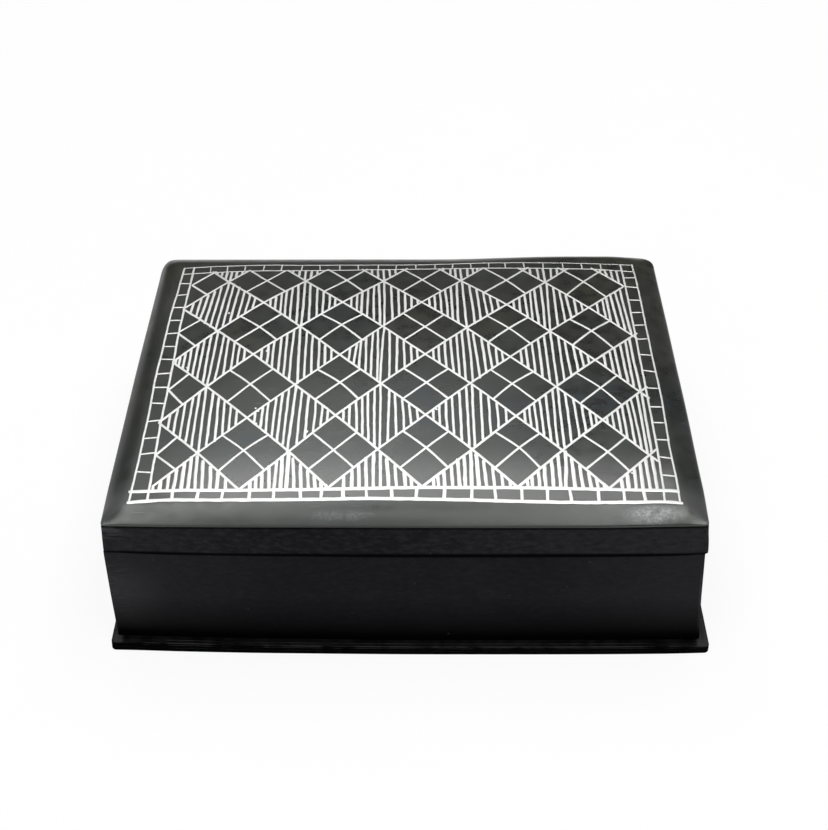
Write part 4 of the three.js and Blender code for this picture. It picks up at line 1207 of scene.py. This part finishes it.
class Wires:
    """Collects flattened wires into one mesh that follows the dome."""

    def __init__(self):
        self.bm = bmesh.new()
        self.count = 0

    def add(self, points, width, waver, front=0.0):
        """One wire through points; front is how much wider it is at the front than elsewhere."""
        self.count += 1
        seed = 3.17 * self.count
        path = resampled(points)
        if len(path) < 3:
            path = [path[0], (path[0] + path[-1]) / 2, path[-1]]
        width *= random.uniform(0.93, 1.09)
        proud = WIRE_PROUD * random.uniform(0.85, 1.15)
        rings = []
        for i, point in enumerate(path):
            end = i in (0, len(path) - 1)
            ahead = path[min(i + 1, len(path) - 1)] - path[max(i - 1, 0)]
            side = Vector((-ahead.y, ahead.x)).normalized()
            shift = waver * (END_WAVER if end else 1.0) * wave(point.x, point.y, seed, 3.2, seed)
            here = point + side * shift
            half = 0.5 * width * (END_WIDTH if end else 1.0)
            half *= 1 + 0.16 * wave(point.x, point.y, seed, 2.1, seed + 50)
            half *= 1 + front * smooth(-38, -46, point.y)
            ring = []
            for across, height in ((-1, -WIRE_SUNK), (-1, 0.3 * proud), (-0.62, proud), (0.62, proud),
                                   (1, 0.3 * proud), (1, -WIRE_SUNK)):
                x = (here.x + side.x * half * across) * MM
                y = (here.y + side.y * half * across) * MM
                lift = height * (END_PROUD if end and height > 0 else 1.0)
                ring.append(self.bm.verts.new(hand_made((x, y, lid_surface(x, y) + lift))))
            rings.append(ring)
        for low, high in zip(rings, rings[1:]):
            bridge(self.bm, low, high)
        self.bm.faces.new(rings[0][::-1])
        self.bm.faces.new(rings[-1])


def crossing(i, j):
    return CROSSINGS[j][i] if 0 <= i < COLUMNS and 0 <= j < ROWS else None


def upto(start, direction, line, axis, past=0.2):
    """From start along direction to where it meets a border line, and a little past it."""
    x, y = start
    for _ in range(400):
        x += direction[0] * 0.05
        y += direction[1] * 0.05
        edge = along(line, (x, y)[1 - axis], 1 - axis)
        if ((x, y)[axis] - edge) * direction[axis] >= 0:
            break
    norm = math.hypot(*direction)
    return (x + direction[0] / norm * past, y + direction[1] / norm * past)


def lattice(wires):
    """The long crossing wires that bound the diamonds."""
    for rise in (1, -1):
        whole = [(i, j) for j in range(ROWS) for i in range(COLUMNS)]
        starts = [(i, j) for i, j in whole
                  if (i + j) % 2 == 0 and crossing(i, j) and not crossing(i - 1, j - rise)]
        for i, j in starts:
            chain = []
            while crossing(i, j) and (i + j) % 2 == 0:
                chain.append(crossing(i, j))
                i, j = i + 1, j + rise
            step = (STEP_X, rise * STEP_Y)
            first_i, first_j = i - len(chain), j - rise * len(chain)
            if rise < 0 and first_j == ROWS - 1 and first_i > 0:
                chain.insert(0, upto(chain[0], (-STEP_X, STEP_Y), BORDER["inner_rear"], 1))
            if i == COLUMNS:
                if along(BORDER["inner_right"], chain[-1][1], 1) - chain[-1][0] > 0.6:
                    chain.append(upto(chain[-1], step, BORDER["inner_right"], 0, 0))
            elif rise > 0 and j == ROWS:
                chain.append(upto(chain[-1], step, BORDER["inner_rear"], 1))
            elif rise < 0 and j < 0:
                chain[-1] = upto(chain[-1], (0.1, -0.4), BORDER["inner_front"], 1, 0)
            if len(chain) > 1:
                wires.add(chain, **LATTICE_WIRE)


def middle(a, b):
    return ((a[0] + b[0]) / 2 + random.uniform(-0.3, 0.3), (a[1] + b[1]) / 2 + random.uniform(-0.3, 0.3))


def quarters(wires):
    """Two wires across each plain diamond."""
    for j in range(1, ROWS, 2):
        for i in range(0, COLUMNS, 2):
            centre = crossing(i, j)
            west, east = crossing(i - 1, j), crossing(i + 1, j)
            south, north = crossing(i, j - 1), crossing(i, j + 1)
            south_east = middle(south, east)
            south_west = middle(south, west) if west else None
            if north:
                north_east = middle(north, east)
                north_west = middle(north, west) if west else None
            else:
                north_east = upto(centre, (STEP_X, STEP_Y), BORDER["inner_rear"], 1)
                north_west = upto(centre, (-STEP_X, STEP_Y), BORDER["inner_rear"], 1) if west else None
            wires.add([p for p in (south_west, centre, north_east) if p], **QUARTER_WIRE)
            wires.add([p for p in (north_west, centre, south_east) if p], **QUARTER_WIRE)


def height_on(points, x):
    for a, b in zip(points, points[1:]):
        if a[0] <= x <= b[0]:
            return a[1] + (b[1] - a[1]) * (x - a[0]) / (b[0] - a[0])
    return None


def diamond_edges(i, j):
    """The lower and upper edges of a lined diamond, each from the left."""
    west, east = crossing(i - 1, j), crossing(i + 1, j)
    south, north = crossing(i, j - 1), crossing(i, j + 1)
    if j == ROWS:
        return [(south[0] - STEP_X, south[1] + STEP_Y), south, (south[0] + STEP_X, south[1] + STEP_Y)], None
    if not east:
        east = (2 * north[0] - west[0], west[1])
    return [west, south, east] if j else None, [west, north, east]


def fine_lines(wires):
    for (i, j), rows in FINE_LINES.items():
        lower, upper = diamond_edges(i, j)
        if j == 0:
            base = along(BORDER["inner_front"], crossing(i, 1)[0], 0) + 1.7
        elif j == ROWS:
            base = along(BORDER["inner_rear"], crossing(i, ROWS - 1)[0], 0) - 1.4
        else:
            base = crossing(i - 1, j)[1]
        for x, lean in rows:
            low = height_on(lower, x) if lower else along(BORDER["inner_front"], x, 0)
            high = height_on(upper, x) if upper else along(BORDER["inner_rear"], x, 0)
            if low is None or high is None or high - low < 0.7:
                continue
            if x > along(BORDER["inner_right"], base, 1) - 0.5:
                continue
            low, high = low - random.uniform(0, 0.15), high + random.uniform(0, 0.15)
            tilt = lean / 10
            ends = [(x + tilt * (low - base), low), (x + tilt * (high - base), high)]
            bend = random.uniform(-0.12, 0.12) if high - low > 8 else 0
            mid = ((ends[0][0] + ends[1][0]) / 2 + bend, (low + high) / 2)
            wires.add([ends[0], mid, ends[1]], FINE_WIDTHS[j], FINE_WAVER)


def border(wires):
    for name, points in BORDER.items():
        wires.add(points, BORDER_WIDTH[name], BORDER_WAVER)
    for name in ("front", "rear"):
        for x in TIES[name]:
            lean = random.uniform(-0.15, 0.15)
            low, high = (along(BORDER[f"{line}_{name}"], x, 0) for line in ("outer", "inner"))
            past = 0.25 * math.copysign(1, low - high)
            wires.add([(x + lean, low + past * random.random()), (x - lean, high)], **TIE_WIRES[name])
    for name in ("left", "right"):
        for y in TIES[name]:
            lean = random.uniform(-0.3, 0.3)
            outer, inner = (along(BORDER[f"{line}_{name}"], y, 1) for line in ("outer", "inner"))
            wires.add([(outer, y - lean), (inner, y + lean)], **TIE_WIRES[name])


def slips(wires):
    for x, y, length, turn in SLIPS:
        dx, dy = (0.5 * length * f(math.radians(turn)) for f in (math.cos, math.sin))
        wires.add([(x - dx, y - dy), (x, y), (x + dx, y + dy)], **SLIP_WIRE)


def silver_wires():
    wires = Wires()
    for lay in (border, lattice, quarters, fine_lines, slips):
        lay(wires)
    return closed_object("silver_wires", wires.bm, SILVER, 75)


ridden(silver_wires(), "lid", "silver_inlay")


# Floor, lights and camera

HORIZON, OVERHEAD, FLOOR_GLOW = 0.09, 0.26, 0.88


def floor():
    bm = bmesh.new()
    bmesh.ops.create_grid(bm, x_segments=4, y_segments=4, size=12.0)
    pale = Finish("pale_floor", Roughness=0.9, Specular_IOR_Level=0.0)
    color = pale.blend(pale.noise(12.0, 2.0), 0.93, 0.94)
    rays = pale.node("ShaderNodeLightPath").outputs
    seen = pale.larger(rays["Is Camera Ray"], rays["Is Glossy Ray"])
    seen = pale.larger(seen, rays["Is Transmission Ray"])
    away = pale.vector("LENGTH", pale.place)["Value"]
    share = pale.times(seen, pale.scaled(pale.ramp(away, 0.2, 0.9), 1 - FLOOR_GLOW, FLOOR_GLOW))
    glow = pale.node("ShaderNodeEmission", {"Color": color, "Strength": 1.07})
    surfaces = {0: share, 1: pale.principled.outputs[0], 2: glow.outputs[0]}
    mixed = pale.node("ShaderNodeMixShader", surfaces).outputs[0]
    pale.fill(pale.principled.inputs, {"Base Color": color})
    pale.fill(pale.tree.nodes["Material Output"].inputs, {"Surface": mixed})
    obj = new_object("floor", bm, pale.material)


def surroundings():
    """A dim studio with a white backdrop low down all round, which is seen and mirrored but lights nothing."""
    world = bpy.data.worlds.new("surroundings")
    bpy.context.scene.world = world
    world.use_nodes = True
    nodes = world.node_tree.nodes
    nodes.clear()
    studio = Graph(world.node_tree, nodes.new("ShaderNodeTexCoord").outputs["Generated"])
    height = studio.axis("Z")
    dim = studio.scaled(studio.ramp(height, 0.35, 0.95), OVERHEAD - HORIZON, HORIZON)
    rays = studio.node("ShaderNodeLightPath").outputs
    mirrored = studio.larger(rays["Is Glossy Ray"], rays["Is Transmission Ray"])
    white = studio.larger(
        studio.times(rays["Is Camera Ray"], studio.ramp(height, 0.50, 0.32)),
        studio.times(mirrored, studio.ramp(height, 0.14, 0.04)),
    )
    strength = studio.scaled(white, studio.minus(1.0, dim), dim)
    light = studio.node("ShaderNodeBackground", {"Color": (1, 1, 1, 1), "Strength": strength})
    studio.node("ShaderNodeOutputWorld", {"Surface": light.outputs[0]})


def softbox(name, place, target, size, power):
    light = bpy.data.lights.new(name, "AREA")
    light.shape = "RECTANGLE"
    light.size, light.size_y = size
    light.energy = power
    obj = bpy.data.objects.new(name, light)
    obj.location = place
    obj.rotation_euler = (Vector(target) - Vector(place)).to_track_quat("-Z", "Y").to_euler()
    bpy.context.scene.collection.objects.link(obj)


floor()
surroundings()
softbox("overhead_left_softbox", (-0.24, -0.04, 0.86), (-0.24, -0.04, 0), (0.30, 1.20), 3.4)
softbox("overhead_right_softbox", (0.30, -0.04, 0.86), (0.30, -0.04, 0), (0.34, 1.20), 4.95)
softbox("rear_softbox", (-0.10, 0.58, 0.79), (0, -0.03, 0.045), (0.46, 0.30), 0.85)
softbox("front_fill", (-0.45, -0.70, 0.80), (0, 0, 0.02), (0.7, 0.7), 1.9)

SENSOR, FOCAL_PIXELS, PHOTO_PIXELS, LOOKS_DOWN = 36, 1470.5, 830, 39.27
camera_data = bpy.data.cameras.new("camera")
camera_data.sensor_width = SENSOR
camera_data.lens = SENSOR * FOCAL_PIXELS / PHOTO_PIXELS
camera_data.clip_start, camera_data.clip_end = 0.01, 20
camera = bpy.data.objects.new("camera", camera_data)
camera.location = (0.0030, -0.3260, 0.2961)
camera.rotation_euler = (math.radians(90 - LOOKS_DOWN), 0, 0)
scene = bpy.context.scene
scene.collection.objects.link(camera)
scene.camera = camera
scene.view_settings.view_transform = "Standard"
